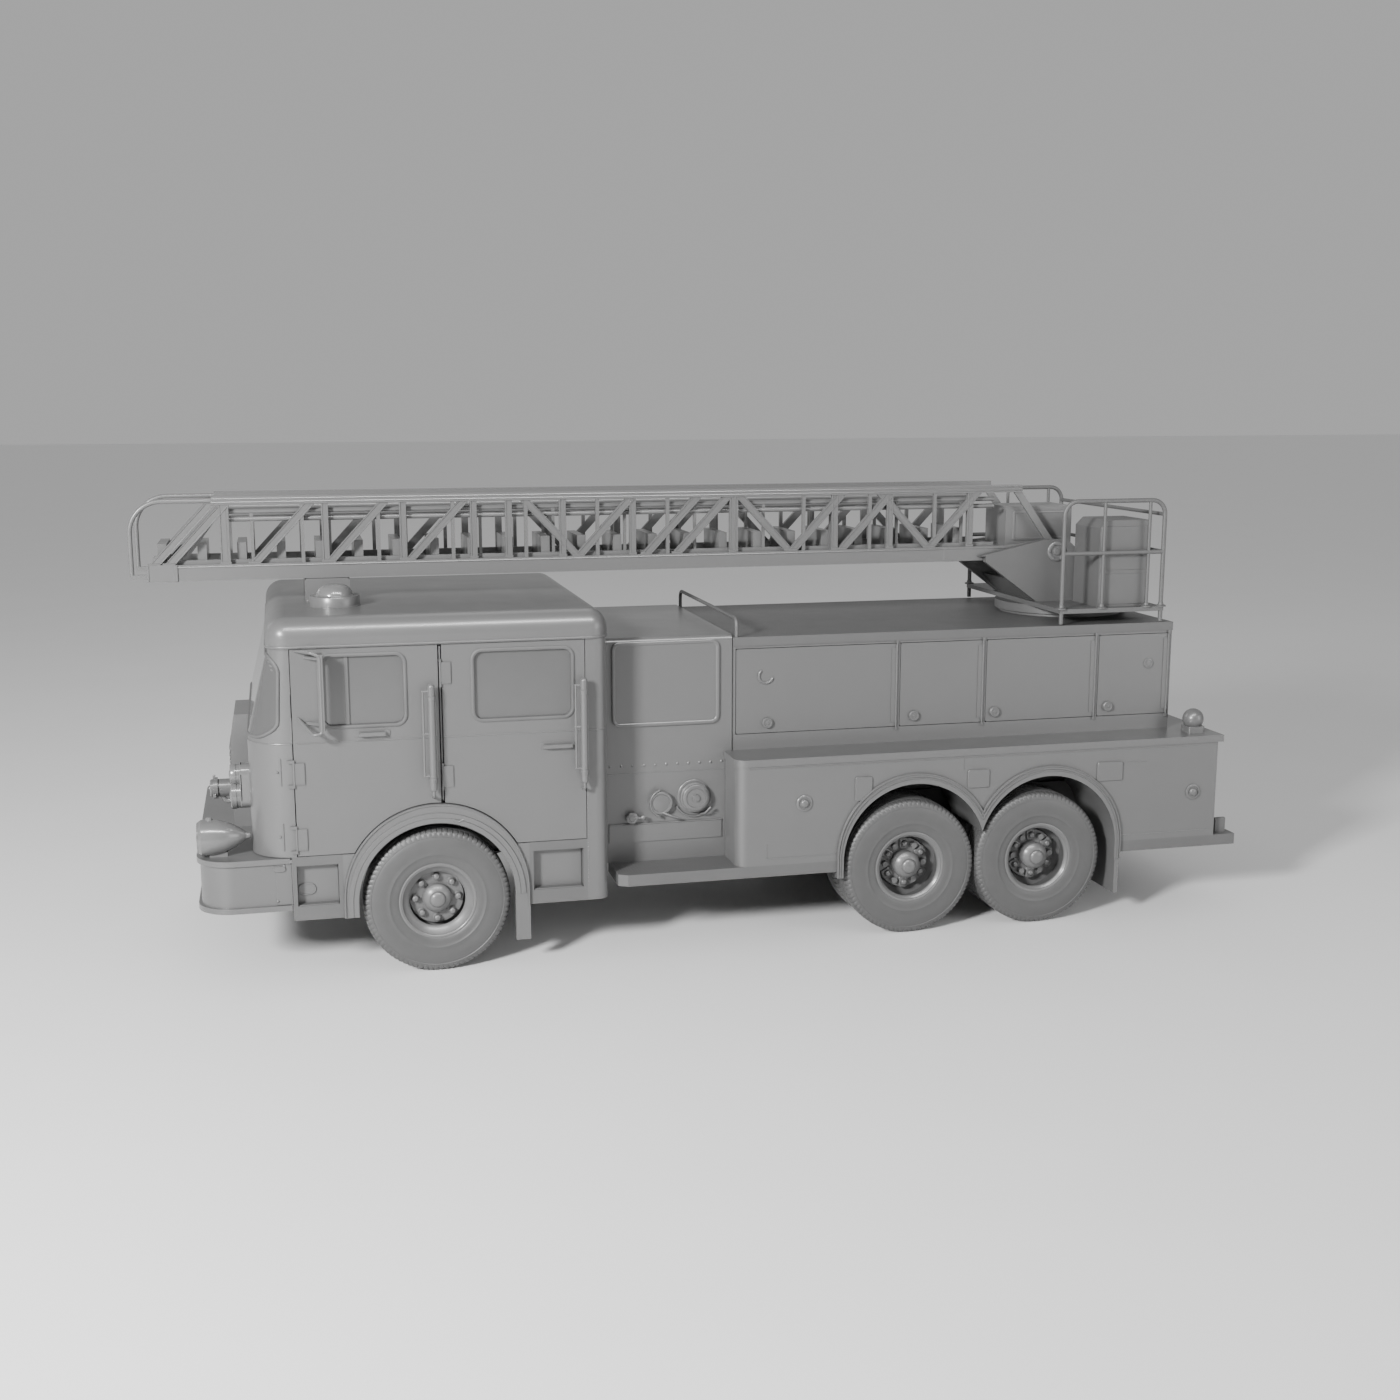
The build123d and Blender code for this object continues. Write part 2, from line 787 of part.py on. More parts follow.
# Cab rear: back wall with rounded corner posts that reach below the floor
with BuildPart() as cab_rear:
    with BuildSketch(Plane.XY.offset(post_bottom)) as outer:
        with Locations((ahead((cab_back + cab_post) / 2), 0)):
            Rectangle(cab_post - cab_back, 2 * body_half)
        fillet(outer.vertices().group_by(Axis.X)[0], post_round)
    extrude(amount=roof_lip - post_bottom)
    with BuildSketch(Plane.XY.offset(post_bottom)) as inner:
        with Locations((ahead((cab_back + cab_wall + cab_post) / 2), 0)):
            Rectangle(cab_post - cab_back - cab_wall, 2 * (body_half - cab_wall))
        fillet(inner.vertices().group_by(Axis.X)[0], post_round - cab_wall)
    extrude(amount=roof_lip - post_bottom, mode=Mode.SUBTRACT)
    slab(
        (ahead(cab_back), ahead(cab_post)),
        (-body_half + cab_wall, body_half - cab_wall),
        (post_bottom, frame_top),
        Mode.SUBTRACT,
    )
save(cab_rear, "cab_rear")

# Cab roof: a pan with a large round along its edges, and the ladder's cradle
roof_front = nose_high + roof_over
roof_back = cab_back - roof_over
roof_half = body_half + roof_over
cradle_top = low_rail_bottom - cradle_gap
with BuildPart() as cab_roof:
    with BuildSketch(Plane.XY.offset(roof_lip)) as plan:
        with Locations((ahead((roof_front + roof_back) / 2), 0)):
            Rectangle(roof_front - roof_back, 2 * roof_half)
        fillet(plan.vertices(), nose_high_round + roof_over)
    extrude(amount=roof_top - roof_lip)
    fillet(cab_roof.faces().sort_by(Axis.Z)[-1].edges(), roof_round)
    with BuildSketch(Plane.XY.offset(roof_lip)) as hollow:
        with Locations((ahead((roof_front + roof_back) / 2), 0)):
            Rectangle(roof_front - roof_back - 2 * roof_wall, 2 * (roof_half - roof_wall))
        fillet(hollow.vertices(), nose_high_round + roof_over - roof_wall)
    extrude(amount=roof_top - roof_lip - roof_wall, taper=30, mode=Mode.SUBTRACT)
    slab(
        (ahead(cradle_x - cradle_length / 2), ahead(cradle_x + cradle_length / 2)),
        (-ladder_half, ladder_half),
        (roof_top - 2.0, cradle_top),
    )
save(cab_roof, "cab_roof")

# Step wells below the doors
with BuildPart() as cab_steps:
    for low, high in ((arch_out + pin_gap, nose_back + 36.0), (cab_post, -arch_out - pin_gap)):
        slab((ahead(low), ahead(high)), (body_half - step_box, body_half), (post_bottom, frame_top))
        slab(
            (ahead(low + step_frame), ahead(high - step_frame)),
            (body_half - step_depth, body_half),
            (step_low, step_high),
            Mode.SUBTRACT,
        )
    mirror(about=Plane.XZ)
save(cab_steps, "cab_steps")

# Front wheel arches: flare, liner and mud flap on each side
with BuildPart() as wheel_arches:
    with BuildSketch(side(body_half + arch_proud)) as flare:
        arch_shape(0.0, arch_z + arch_out, arch_out, arch_bottom)
        with BuildSketch(mode=Mode.SUBTRACT):
            arch_shape(0.0, arch_in_z + arch_in, arch_in, arch_bottom)
    extrude(amount=flare_depth)
    with BuildSketch(side(body_half + arch_proud - flare_depth)) as liner:
        arch_shape(0.0, arch_z + arch_out, arch_out, arch_bottom)
        with BuildSketch(mode=Mode.SUBTRACT):
            arch_shape(0.0, arch_z + arch_out - arch_wall, arch_out - arch_wall, arch_bottom)
    extrude(amount=well_depth)
    slab(
        (ahead(-arch_out), ahead(-arch_out + flap_thick)),
        (body_half - flap_width, body_half),
        (flap_bottom, arch_bottom),
    )
    slab(
        (ahead(-arch_out), ahead(-arch_in)),
        (body_half + arch_proud - flare_depth, body_half + arch_proud),
        (flap_bottom, arch_bottom),
    )
    mirror(about=Plane.XZ)
save(wheel_arches, "wheel_arches")


def hinge_side(out, x, line, face, leaf_to, low, high):
    """Door's half of a hinge: barrel, leaf on the door's face, and a pin at each end."""
    with Locations((x, out * line, (low + high) / 2)):
        Cylinder(hinge_r, high - low)
        Cylinder(hinge_pin_r, high - low + 2 * (lug_height - 6.0))
    slab((x, leaf_to), (out * (face - 3.0), out * (line + 2.0)), (low, high))


def pane(low_x, high_x, gap):
    """Door window outline in X and Z."""
    with Locations((ahead((low_x + high_x) / 2), (window_low + window_high) / 2)):
        RectangleRounded(
            high_x - low_x - 2 * gap, window_high - window_low - 2 * gap, window_round - gap
        )


def grab_tube(x):
    """Upright tube on two stand-offs on a door."""
    bar((x, body_half + grab_out, grab_low), (x, body_half + grab_out, grab_high), grab_r)
    rod_x = x + grab_rod_ahead
    rod_low = grab_low + 90.0
    rod_high = grab_high - 30.0
    bar((rod_x, body_half + grab_out, rod_low), (rod_x, body_half + grab_out, rod_high), grab_rod_r)
    for z in (rod_low, (rod_low + rod_high) / 2, rod_high):
        bar((x, body_half + grab_out, z), (rod_x + grab_rod_r, body_half + grab_out, z), grab_rod_r)
    for z in (grab_low + 60.0, grab_high - 60.0):
        bar((x, body_half - 5.0, z), (x, body_half + grab_out, z), grab_foot_r)


def handle(low_x, high_x, z):
    """Pull handle: a bar on two feet."""
    slab((ahead(low_x), ahead(high_x)), (body_half + 22.0, body_half + 42.0), (z - 13.0, z + 13.0))
    for x in (low_x + 15.0, high_x - 15.0):
        slab((ahead(x - 12.0), ahead(x + 12.0)), (body_half - 5.0, body_half + 30.0), (z - 10.0, z + 10.0))


def door_panel(front, back, window):
    """Door slab with the wheel arch and its window cut away."""
    low = frame_top + door_gap
    high = roof_lip - door_gap
    with BuildSketch(side(body_half)) as panel:
        with Locations((ahead((front + back) / 2), (low + high) / 2)):
            Rectangle(front - back, high - low)
        with Locations((axle_x, arch_z)):
            Circle(arch_out + arch_gap, mode=Mode.SUBTRACT)
        with BuildSketch(mode=Mode.SUBTRACT):
            pane(window[0], window[1], 0.0)
    extrude(panel.sketch, amount=door_thick)


def door_glass(window):
    """Window pane in the middle of the door's thickness."""
    with BuildSketch(side(body_half - glass_set)) as panel:
        pane(window[0], window[1], pin_gap)
    extrude(panel.sketch, amount=glass_thick)


# Cab doors: the front pair carries the mirrors
front_door_back = door_split + hinge_r + swing_room
rear_door_front = door_split - hinge_r - door_gap
mirror_x = 752.0
with BuildPart() as front_door_left:
    door_panel(door_front - 2.0, front_door_back, front_window)
    for z in front_hinges:
        hinge_side(
            1, ahead(door_front), hinge_line, body_half, ahead(door_front - 70.0),
            z - hinge_length / 2, z + hinge_length / 2,
        )
    grab_tube(ahead(door_split + 70.0))
    handle(front_handle[0], front_handle[1], front_handle_z)
    slab(
        (ahead(mirror_x - 18.0), ahead(mirror_x + 18.0)),
        (body_half + mirror_in, body_half + mirror_out),
        (mirror_low, mirror_high),
    )
    for z in (mirror_low + 40.0, mirror_high - 40.0):
        bar(
            (ahead(mirror_x + 100.0), body_half - 10.0, z),
            (ahead(mirror_x), body_half + mirror_in + 20.0, z),
            12.0,
        )
save(front_door_left, "front_door_left")
with BuildPart() as front_door_right:
    mirror(front_door_left.part, about=Plane.XZ)
save(front_door_right, "front_door_right")
with BuildPart() as rear_door_left:
    door_panel(rear_door_front, cab_post + door_gap, rear_window)
    for z in rear_hinges:
        hinge_side(
            1, ahead(door_split), hinge_line, body_half, ahead(rear_door_front - 60.0),
            z - hinge_length / 2, z + hinge_length / 2,
        )
    grab_tube(ahead(cab_post + 25.0))
    handle(rear_handle[0], rear_handle[1], rear_handle_z)
save(rear_door_left, "rear_door_left")
with BuildPart() as rear_door_right:
    mirror(rear_door_left.part, about=Plane.XZ)
save(rear_door_right, "rear_door_right")
for node, window in (("front_glass", front_window), ("rear_glass", rear_window)):
    with BuildPart() as glass_left:
        door_glass(window)
    save(glass_left, f"{node}_left")
    with BuildPart() as glass_right:
        mirror(glass_left.part, about=Plane.XZ)
    save(glass_right, f"{node}_right")

# Seats: two face forward, two face back, each on the raised floor
seat_z = raised_under + floor_thick
with BuildPart() as seats:
    for low, high, back in ((60.0, 560.0, 60.0), (-640.0, -170.0, -260.0)):
        slab((ahead(low), ahead(high)), (seat_in, seat_out), (seat_z, seat_z + seat_height))
        slab((ahead(back), ahead(back + 90.0)), (seat_in, seat_out), (seat_z, seat_z + seat_back))
    mirror(about=Plane.XZ)
save(seats, "seats")

# Dashboard with the steering column and wheel
dash_front = nose_low - cab_wall
wheel_centre = (ahead(790.0), 640.0, 1610.0)
with BuildPart() as dashboard:
    with BuildSketch(side(dash_half)):
        polygon(
            (ahead(dash_front), 1420.0),
            (ahead(dash_front), 1670.0),
            (ahead(dash_front - 110.0), 1670.0),
            (ahead(dash_front - 220.0), 1600.0),
            (ahead(dash_front - 180.0), 1420.0),
        )
    extrude(amount=2 * dash_half)
    bar((ahead(dash_front - 160.0), 640.0, 1500.0), wheel_centre, 28.0)
    with Locations(Plane(origin=wheel_centre, z_dir=(-0.77, 0, 0.64))):
        Torus(215.0, 16.0)
        with Locations((0, 0, 0)):
            Box(420.0, 40.0, 16.0)
            Cylinder(60.0, 30.0)
save(dashboard, "dashboard")


def bumper_plan(z, inset):
    """Bumper outline at one height."""
    with BuildSketch(Plane.XY.offset(z)) as plan:
        with Locations((ahead((bumper_back + bumper_front - inset) / 2), 0)):
            Rectangle(bumper_front - inset - bumper_back, 2 * (body_half - inset))
        fillet(plan.vertices().group_by(Axis.X)[-1], bumper_round - inset)
    return plan.sketch


# Front bumper: flanged wall round a top plate, on two brackets at the rails' ends
bumper_inner = bumper_lip + bumper_wall
with BuildPart() as front_bumper:
    extrude(bumper_plan(bumper_bottom, bumper_lip), amount=bumper_top - bumper_bottom)
    extrude(bumper_plan(bumper_bottom, 0), amount=bumper_flange)
    extrude(
        bumper_plan(bumper_bottom, bumper_inner),
        amount=bumper_top - bumper_flange - bumper_bottom,
        mode=Mode.SUBTRACT,
    )
    extrude(bumper_plan(bumper_top - bumper_flange, 0), amount=bumper_flange)
    slab(
        (ahead(bumper_back), ahead(nose_low - door_gap)),
        (-body_half + nose_low_round, body_half - nose_low_round),
        (bumper_bottom, bumper_top),
        Mode.SUBTRACT,
    )
    for out in (-1, 1):
        slab(
            (ahead(rail_front), ahead(bumper_front - bumper_inner)),
            (out * (rail_out - rail_flange), out * rail_out),
            (rail_bottom, bumper_top - bumper_flange),
        )
save(front_bumper, "front_bumper")

# Nose panel: box between the headlamps, with the front suction inlet
with BuildPart() as nose_panel:
    with BuildSketch(side(nose_box_half)):
        polygon(
            (ahead(nose_low), bumper_top),
            (ahead(nose_box_front), bumper_top),
            (ahead(nose_box_front), nose_box_top - 240.0),
            (ahead(nose_box_front - 9.0), nose_box_top - 140.0),
            (ahead(nose_box_front - 35.0), nose_box_top),
            (ahead(nose_low), nose_box_top),
        )
    extrude(amount=2 * nose_box_half)
    bar((ahead(nose_box_front - 5.0), 0, inlet_z), (ahead(inlet_front), 0, inlet_z), inlet_r)
    bar((ahead(inlet_front - 45.0), 0, inlet_z), (ahead(inlet_front - 12.0), 0, inlet_z), inlet_r + 13.0)
save(nose_panel, "nose_panel")

# Headlamps: a bezel with two round lamps on each side
with BuildPart() as headlamps:
    with BuildSketch(Plane.YZ.offset(ahead(nose_low))):
        with Locations((lamp_y, lamp_z)):
            RectangleRounded(lamp_bezel_width, lamp_bezel_height, lamp_bezel_round)
    extrude(amount=lamp_bezel_deep)
    for z in (-1, 1):
        lamp_at = lamp_z + z * lamp_bezel_height / 4
        bar((ahead(nose_low + 5.0), lamp_y, lamp_at), (ahead(lamp_front), lamp_y, lamp_at), lamp_r)
    mirror(about=Plane.XZ)
save(headlamps, "headlamps")

# Siren: bullet-shaped, on the bumper's left end
siren_z = bumper_top + siren_r + 6.0
with BuildPart() as siren:
    with BuildSketch(Plane(origin=(0, siren_y, siren_z), x_dir=(1, 0, 0), z_dir=(0, -1, 0))):
        with BuildLine():
            Polyline(
                (ahead(siren_front - siren_length), 0),
                (ahead(siren_front - siren_length), 18.0),
                (ahead(siren_front - siren_length + 30.0), 28.0),
            )
            ThreePointArc(
                (ahead(siren_front - siren_length + 30.0), 28.0),
                (ahead(siren_front - 0.55 * siren_length), 0.82 * siren_r),
                (ahead(siren_front - 60.0), siren_r),
            )
            Polyline(
                (ahead(siren_front - 60.0), siren_r),
                (ahead(siren_front - 20.0), siren_r),
                (ahead(siren_front), siren_r - 14.0),
                (ahead(siren_front), 0),
                (ahead(siren_front - siren_length), 0),
            )
        make_face()
    revolve(axis=Axis((0, siren_y, siren_z), (1, 0, 0)))
    slab(
        (ahead(siren_front - 190.0), ahead(siren_front - 70.0)),
        (siren_y - 45.0, siren_y + 45.0),
        (bumper_top, siren_z - siren_r + 25.0),
    )
save(siren, "siren")

# Beacon: a drum with a domed lens on the cab roof
with BuildPart() as beacon:
    with Locations((ahead(beacon_x), beacon_y, roof_top)):
        Cylinder(beacon_r, beacon_top - roof_top, align=(Align.CENTER, Align.CENTER, Align.MIN))
    fillet(beacon.edges().group_by(Axis.Z)[-1], beacon_dome)
    with Locations((ahead(beacon_x), beacon_y, roof_top)):
        Cylinder(beacon_base_r, beacon_drum, align=(Align.CENTER, Align.CENTER, Align.MIN))
save(beacon, "beacon")

# Pump house: closed box behind the cab with raised panels and its inlets
with BuildPart() as pump_house:
    slab((ahead(pump_back), ahead(pump_front)), (-pump_half, pump_half), (board_top, pump_top))
    fillet(pump_house.edges().filter_by(Axis.X).group_by(Axis.Z)[-1], pump_round)
    slab(
        (ahead(pump_back + pump_wall), ahead(pump_front - pump_wall)),
        (-pump_half + pump_wall, pump_half - pump_wall),
        (board_top, pump_top - pump_wall),
        Mode.SUBTRACT,
    )
    slab(
        (ahead(pump_back), ahead(pump_front)),
        (-pump_half + pump_wall, pump_half - pump_wall),
        (board_top, frame_top),
        Mode.SUBTRACT,
    )
    with BuildSketch(side(pump_half + panel_proud)):
        with Locations((ahead((panel_front + panel_back) / 2), (panel_low + panel_high) / 2)):
            RectangleRounded(panel_front - panel_back, panel_high - panel_low, panel_round)
    extrude(amount=panel_proud + 1.0)
    slab(
        (ahead(strip_back), ahead(strip_front)),
        (pump_half - 1.0, pump_half + panel_proud),
        (strip_low, strip_high),
    )
    for x, z, radius, length in pump_inlets:
        bar((ahead(x), pump_half - 1.0, z), (ahead(x), pump_half + length, z), radius)
    mirror(about=Plane.XZ)
save(pump_house, "pump_house")

# Steps: running boards beside the pump house and lower body, and the tail step
board_z = (board_top - board_thick, board_top)
board_back = rear_arches[0] + rear_arch_out
tail_front = rear_arches[1] - rear_arch_out
with BuildPart() as steps:
    with BuildSketch(Plane.XY.offset(board_top - board_thick)):
        polygon(
            (ahead(board_front), board_inner),
            (ahead(board_front), body_half - 40.0),
            (ahead(board_front - board_chamfer), body_half),
            (ahead(board_back), body_half),
            (ahead(board_back), board_inner),
        )
        polygon(
            (ahead(tail_front), body_half),
            (ahead(-rear_reach), body_half),
            (ahead(-rear_reach), 0),
            (ahead(lower_back + lower_wall), 0),
            (ahead(lower_back + lower_wall), board_inner),
            (ahead(tail_front), board_inner),
        )
    extrude(amount=board_thick)
    mirror(about=Plane.XZ)
save(steps, "steps")

# Lower body: ledge slab, side boxes with twin wheel arches, on two walls along the rails
ledge_under = ledge_top - ledge_thick
box_in = body_half - rear_well
ledge_half = body_half + ledge_over
clear_of_pump = pump_half + panel_proud + door_gap
with BuildPart() as lower_body:
    with BuildSketch(Plane.XY.offset(board_top)) as plan:
        with Locations((ahead((lower_front + lower_back) / 2), (box_in + body_half) / 2)):
            Rectangle(lower_front - lower_back, rear_well)
        fillet(plan.vertices().group_by(Axis.X)[-1].sort_by(Axis.Y)[-1], lower_round)
    extrude(amount=ledge_under - board_top)
    slab(
        (ahead(lower_back + lower_wall), ahead(lower_front - lower_wall)),
        (box_in, body_half - lower_wall),
        (board_top, ledge_under),
        Mode.SUBTRACT,
    )
    slab(
        (ahead(lower_front - lower_wall), ahead(lower_front)),
        (box_in, clear_of_pump),
        (board_top, ledge_under),
        Mode.SUBTRACT,
    )
    with BuildSketch(side(body_half)):
        for place in rear_arches:
            arch_shape(place, rear_arch_in_top + arch_wall, rear_arch_in + arch_wall, board_top)
    extrude(amount=rear_well)
    with BuildSketch(side(body_half + arch_proud)):
        for place in rear_arches:
            arch_shape(place, rear_arch_top, rear_arch_out, rear_arch_bottom)
    extrude(amount=arch_proud + lower_wall)
    with BuildSketch(side(body_half + arch_proud)):
        for place in rear_arches:
            arch_shape(place, rear_arch_in_top, rear_arch_in, rear_arch_bottom)
    extrude(amount=arch_proud + rear_well, mode=Mode.SUBTRACT)
    slab(
        (ahead(tail_front), ahead(tail_front + rear_flap_thick)),
        (body_half - flap_width, body_half),
        (flap_bottom, board_top),
    )
    with BuildSketch(Plane.XY.offset(ledge_top)):
        with Locations((ahead(ball_lamp_x), ball_lamp_y)):
            RectangleRounded(lamp_base, lamp_base, lamp_base_round)
    extrude(amount=lamp_base_height)
    with Locations((ahead(ball_lamp_x), ball_lamp_y, ledge_top + lamp_base_height + ball_lamp_rise)):
        Sphere(ball_lamp_r)
    slab(
        (ahead(lower_back + lower_wall), ahead(upper_front)),
        (rail_out - rail_flange, rail_out - rail_flange + lower_wall),
        (frame_top, ledge_under),
    )
    slab(
        (ahead(lower_back), ahead(lower_back + lower_wall)),
        (0, box_in),
        (board_top, ledge_under),
    )
    mirror(about=Plane.XZ)
    with BuildSketch(Plane.XY.offset(ledge_under)) as ledge:
        with Locations((ahead((ledge_back + lower_front + ledge_over) / 2), 0)):
            Rectangle(lower_front + ledge_over - ledge_back, 2 * ledge_half)
        fillet(ledge.vertices().group_by(Axis.X)[-1], lower_round + ledge_over)
        with Locations((ahead((upper_front + lower_front + ledge_over) / 2), 0)):
            Rectangle(lower_front + ledge_over - upper_front, 2 * clear_of_pump, mode=Mode.SUBTRACT)
    extrude(amount=ledge_thick)
save(lower_body, "lower_body")

# Lockers: a face frame on each side, partitions and a middle wall
locker_edges = (upper_front, *locker_posts, upper_back)
locker_doors = []
for index in range(len(locker_edges) - 1):
    first = index == 0
    last = index == len(locker_edges) - 2
    opening_front = locker_edges[index] - (post_width if first else post_width / 2)
    opening_back = locker_edges[index + 1] + (post_width if last else post_width / 2)
    locker_doors.append((opening_front, opening_back))
with BuildPart() as locker_walls:
    for place in (upper_front - locker_wall / 2, *locker_posts, upper_back + locker_wall / 2):
        slab(
            (ahead(place - locker_wall / 2), ahead(place + locker_wall / 2)),
            (0, upper_half - face_thick),
            (ledge_top, deck_under),
        )
    slab((ahead(upper_back), ahead(upper_front)), (0, locker_wall / 2), (ledge_top, deck_under))
    mirror(about=Plane.XZ)
save(locker_walls, "locker_walls")
with BuildPart() as locker_face_left:
    with BuildSketch(side(upper_half)):
        with Locations((ahead((upper_front + upper_back) / 2), (ledge_top + deck_under) / 2)):
            Rectangle(upper_front - upper_back, deck_under - ledge_top)
        for opening_front, opening_back in locker_doors:
            with Locations((ahead((opening_front + opening_back) / 2), (locker_sill + locker_head) / 2)):
                Rectangle(opening_front - opening_back, locker_head - locker_sill, mode=Mode.SUBTRACT)
    extrude(amount=face_thick)
    for opening_front, opening_back in locker_doors:
        hinge_x = ahead(opening_back + door_gap)
        for low in (locker_sill - lug_height, locker_head):
            high = min(low + lug_height, deck_under - pin_gap)
            slab(
                (hinge_x - hinge_r - 3.0, hinge_x + hinge_r + 3.0),
                (upper_half - 10.0, locker_line + hinge_r),
                (low, high),
            )
            with Locations((hinge_x, locker_line, (low + high) / 2)):
                Cylinder(hinge_pin_r + pin_gap, high - low, mode=Mode.SUBTRACT)
save(locker_face_left, "locker_face_left")
with BuildPart() as locker_face_right:
    mirror(locker_face_left.part, about=Plane.XZ)
save(locker_face_right, "locker_face_right")

# Locker doors, numbered from the front, hinged at their rear edges
locker_pin = deck_under - locker_head - 4.0
for number, (opening_front, opening_back) in enumerate(locker_doors, start=1):
    with BuildPart() as locker_door:
        hinge_x = ahead(opening_back + door_gap)
        with BuildSketch(side(upper_half)):
            with Locations((ahead((opening_front + opening_back) / 2), (locker_sill + locker_head) / 2)):
                RectangleRounded(
                    opening_front - opening_back - 2 * door_gap,
                    locker_head - locker_sill - 2 * door_gap,
                    locker_door_round,
                )
        extrude(amount=locker_door_thick)
        with Locations((hinge_x, locker_line, (locker_sill + locker_head) / 2)):
            Cylinder(hinge_r, locker_head - locker_sill - 4 * pin_gap)
            Cylinder(hinge_pin_r, locker_head - locker_sill + 2 * locker_pin)
        slab(
            (hinge_x, hinge_x + 40.0),
            (upper_half - 3.0, locker_line - 2.0),
            (locker_sill + 40.0, locker_head - 40.0),
        )
        latch_x = ahead(opening_front - latch_places[number - 1])
        bar((latch_x, upper_half - 2.0, latch_z), (latch_x, upper_half + latch_out, latch_z), latch_r)
    save(locker_door, f"locker_door_{number}_left")
    with BuildPart() as locker_door_right:
        mirror(locker_door.part, about=Plane.XZ)
    save(locker_door_right, f"locker_door_{number}_right")

# Deck over the lockers, with the slewing ring and the cross rail
deck_rail_y = deck_half - 20.0
with BuildPart() as deck:
    slab((ahead(upper_back), ahead(upper_front)), (-deck_half, deck_half), (deck_under, deck_top))
    with Locations((ahead(slew_x), 0, deck_top)):
        Cylinder(
            slew_ring_r, slew_ring_top - deck_top, align=(Align.CENTER, Align.CENTER, Align.MIN)
        )
    with BuildLine(Plane.YZ.offset(ahead(deck_rail_x))) as rail_path:
        FilletPolyline(
            (-deck_rail_y, deck_top - 2.0),
            (-deck_rail_y, deck_rail_top),
            (deck_rail_y, deck_rail_top),
            (deck_rail_y, deck_top - 2.0),
            radius=deck_rail_bend,
        )
    with BuildSketch(Plane(origin=rail_path.line @ 0, z_dir=rail_path.line % 0)):
        Circle(deck_rail_r)
    sweep(path=rail_path.line)
save(deck, "deck")

# Platform: turns on the slewing ring, with its guard rails, legs and control console
disc_low = slew_ring_top + pin_gap
floor_low = platform_top - platform_thick
guard_y = platform_half - guard_r
guard_front = platform_front - guard_r
guard_back = platform_back + guard_r
guard_mid = platform_top + guard_mid_rise
guard_top = guard_mid + guard_rise
with BuildPart() as platform:
    with Locations((ahead(slew_x), 0, disc_low)):
        Cylinder(
            slew_ring_r + 30.0, floor_low - disc_low, align=(Align.CENTER, Align.CENTER, Align.MIN)
        )
    slab(
        (ahead(platform_back), ahead(platform_front)),
        (-platform_half, platform_half),
        (floor_low, platform_top),
    )
    for out in (-1, 1):
        with BuildLine(side(out * guard_y)) as guard_path:
            FilletPolyline(
                (ahead(guard_front), floor_low),
                (ahead(guard_front), guard_top),
                (ahead(guard_back), guard_top),
                (ahead(guard_back), floor_low),
                radius=guard_bend,
            )
        with BuildSketch(Plane(origin=guard_path.line @ 0, z_dir=guard_path.line % 0)):
            Circle(guard_r)
        sweep(path=guard_path.line)
        rail_y = out * guard_y
        bar((ahead(guard_front), rail_y, guard_mid), (ahead(guard_back), rail_y, guard_mid), guard_r)
        for place in guard_posts:
            bar((ahead(place), rail_y, floor_low), (ahead(place), rail_y, guard_top), guard_r - 4.0)
        for place in (guard_front, guard_back):
            bar((ahead(place), rail_y, platform_leg), (ahead(place), rail_y, floor_low + 2.0), guard_r)
    for z in (guard_mid, guard_top - guard_bend):
        bar((ahead(guard_back), -guard_y, z), (ahead(guard_back), guard_y, z), guard_r - 2.0)
    with BuildSketch(side(console_out)):
        polygon(
            (ahead(console_back), platform_top - 2.0),
            (ahead(console_back), console_top),
            (ahead(console_front - console_slope), console_top),
            (ahead(console_front), console_top - console_slope),
            (ahead(console_front), platform_top - 2.0),
        )
    extrude(amount=console_out - console_in)
save(platform, "platform")

# Pedestal: two wedge cheeks on the platform that hold the ladder's heel pins
with BuildPart() as pedestal:
    with BuildSketch(side(cheek_in + cheek_thick)):
        polygon(
            (ahead(cheek_front), low_rail_bottom - 6.0),
            (ahead(cheek_foot), platform_top),
            (ahead(cheek_back), platform_top),
            (ahead(cheek_back), pedestal_top + 60.0),
            (ahead(heel_x - heel_round), heel_z + heel_round),
            (ahead(heel_x + heel_round), heel_z + heel_round),
            (ahead(cheek_front + 60.0), low_rail_bottom + 40.0),
            (ahead(cheek_front), low_rail_bottom + 40.0),
        )
    extrude(amount=cheek_thick)
    with BuildSketch(side(cheek_in)):
        polygon(
            (ahead(cheek_foot), platform_top),
            (ahead(cheek_foot + 150.0), pedestal_top),
            (ahead(cheek_back), pedestal_top),
            (ahead(cheek_back), platform_top),
        )
    extrude(amount=cheek_in)
    bar(
        (ahead(heel_x), ladder_half - rail_width + 2.0, heel_z),
        (ahead(heel_x), cheek_in + cheek_thick, heel_z),
        heel_pin_r,
    )
    mirror(about=Plane.XZ)
save(pedestal, "pedestal")

# Ladder bed: two trussed sides, rungs, slide ledges, front bows and the heel
rail_in = ladder_half - rail_width
rail_mid = ladder_half - rail_width / 2
bed_post_places = [bed_post_front - bed_post_pitch * i for i in range(bed_posts)]
rung_front = collar_back - 60.0
bow_x = front_reach - bow_r
bow_z = (high_rail_bottom + high_rail_top) / 2
brace_wide = strut * 1.3
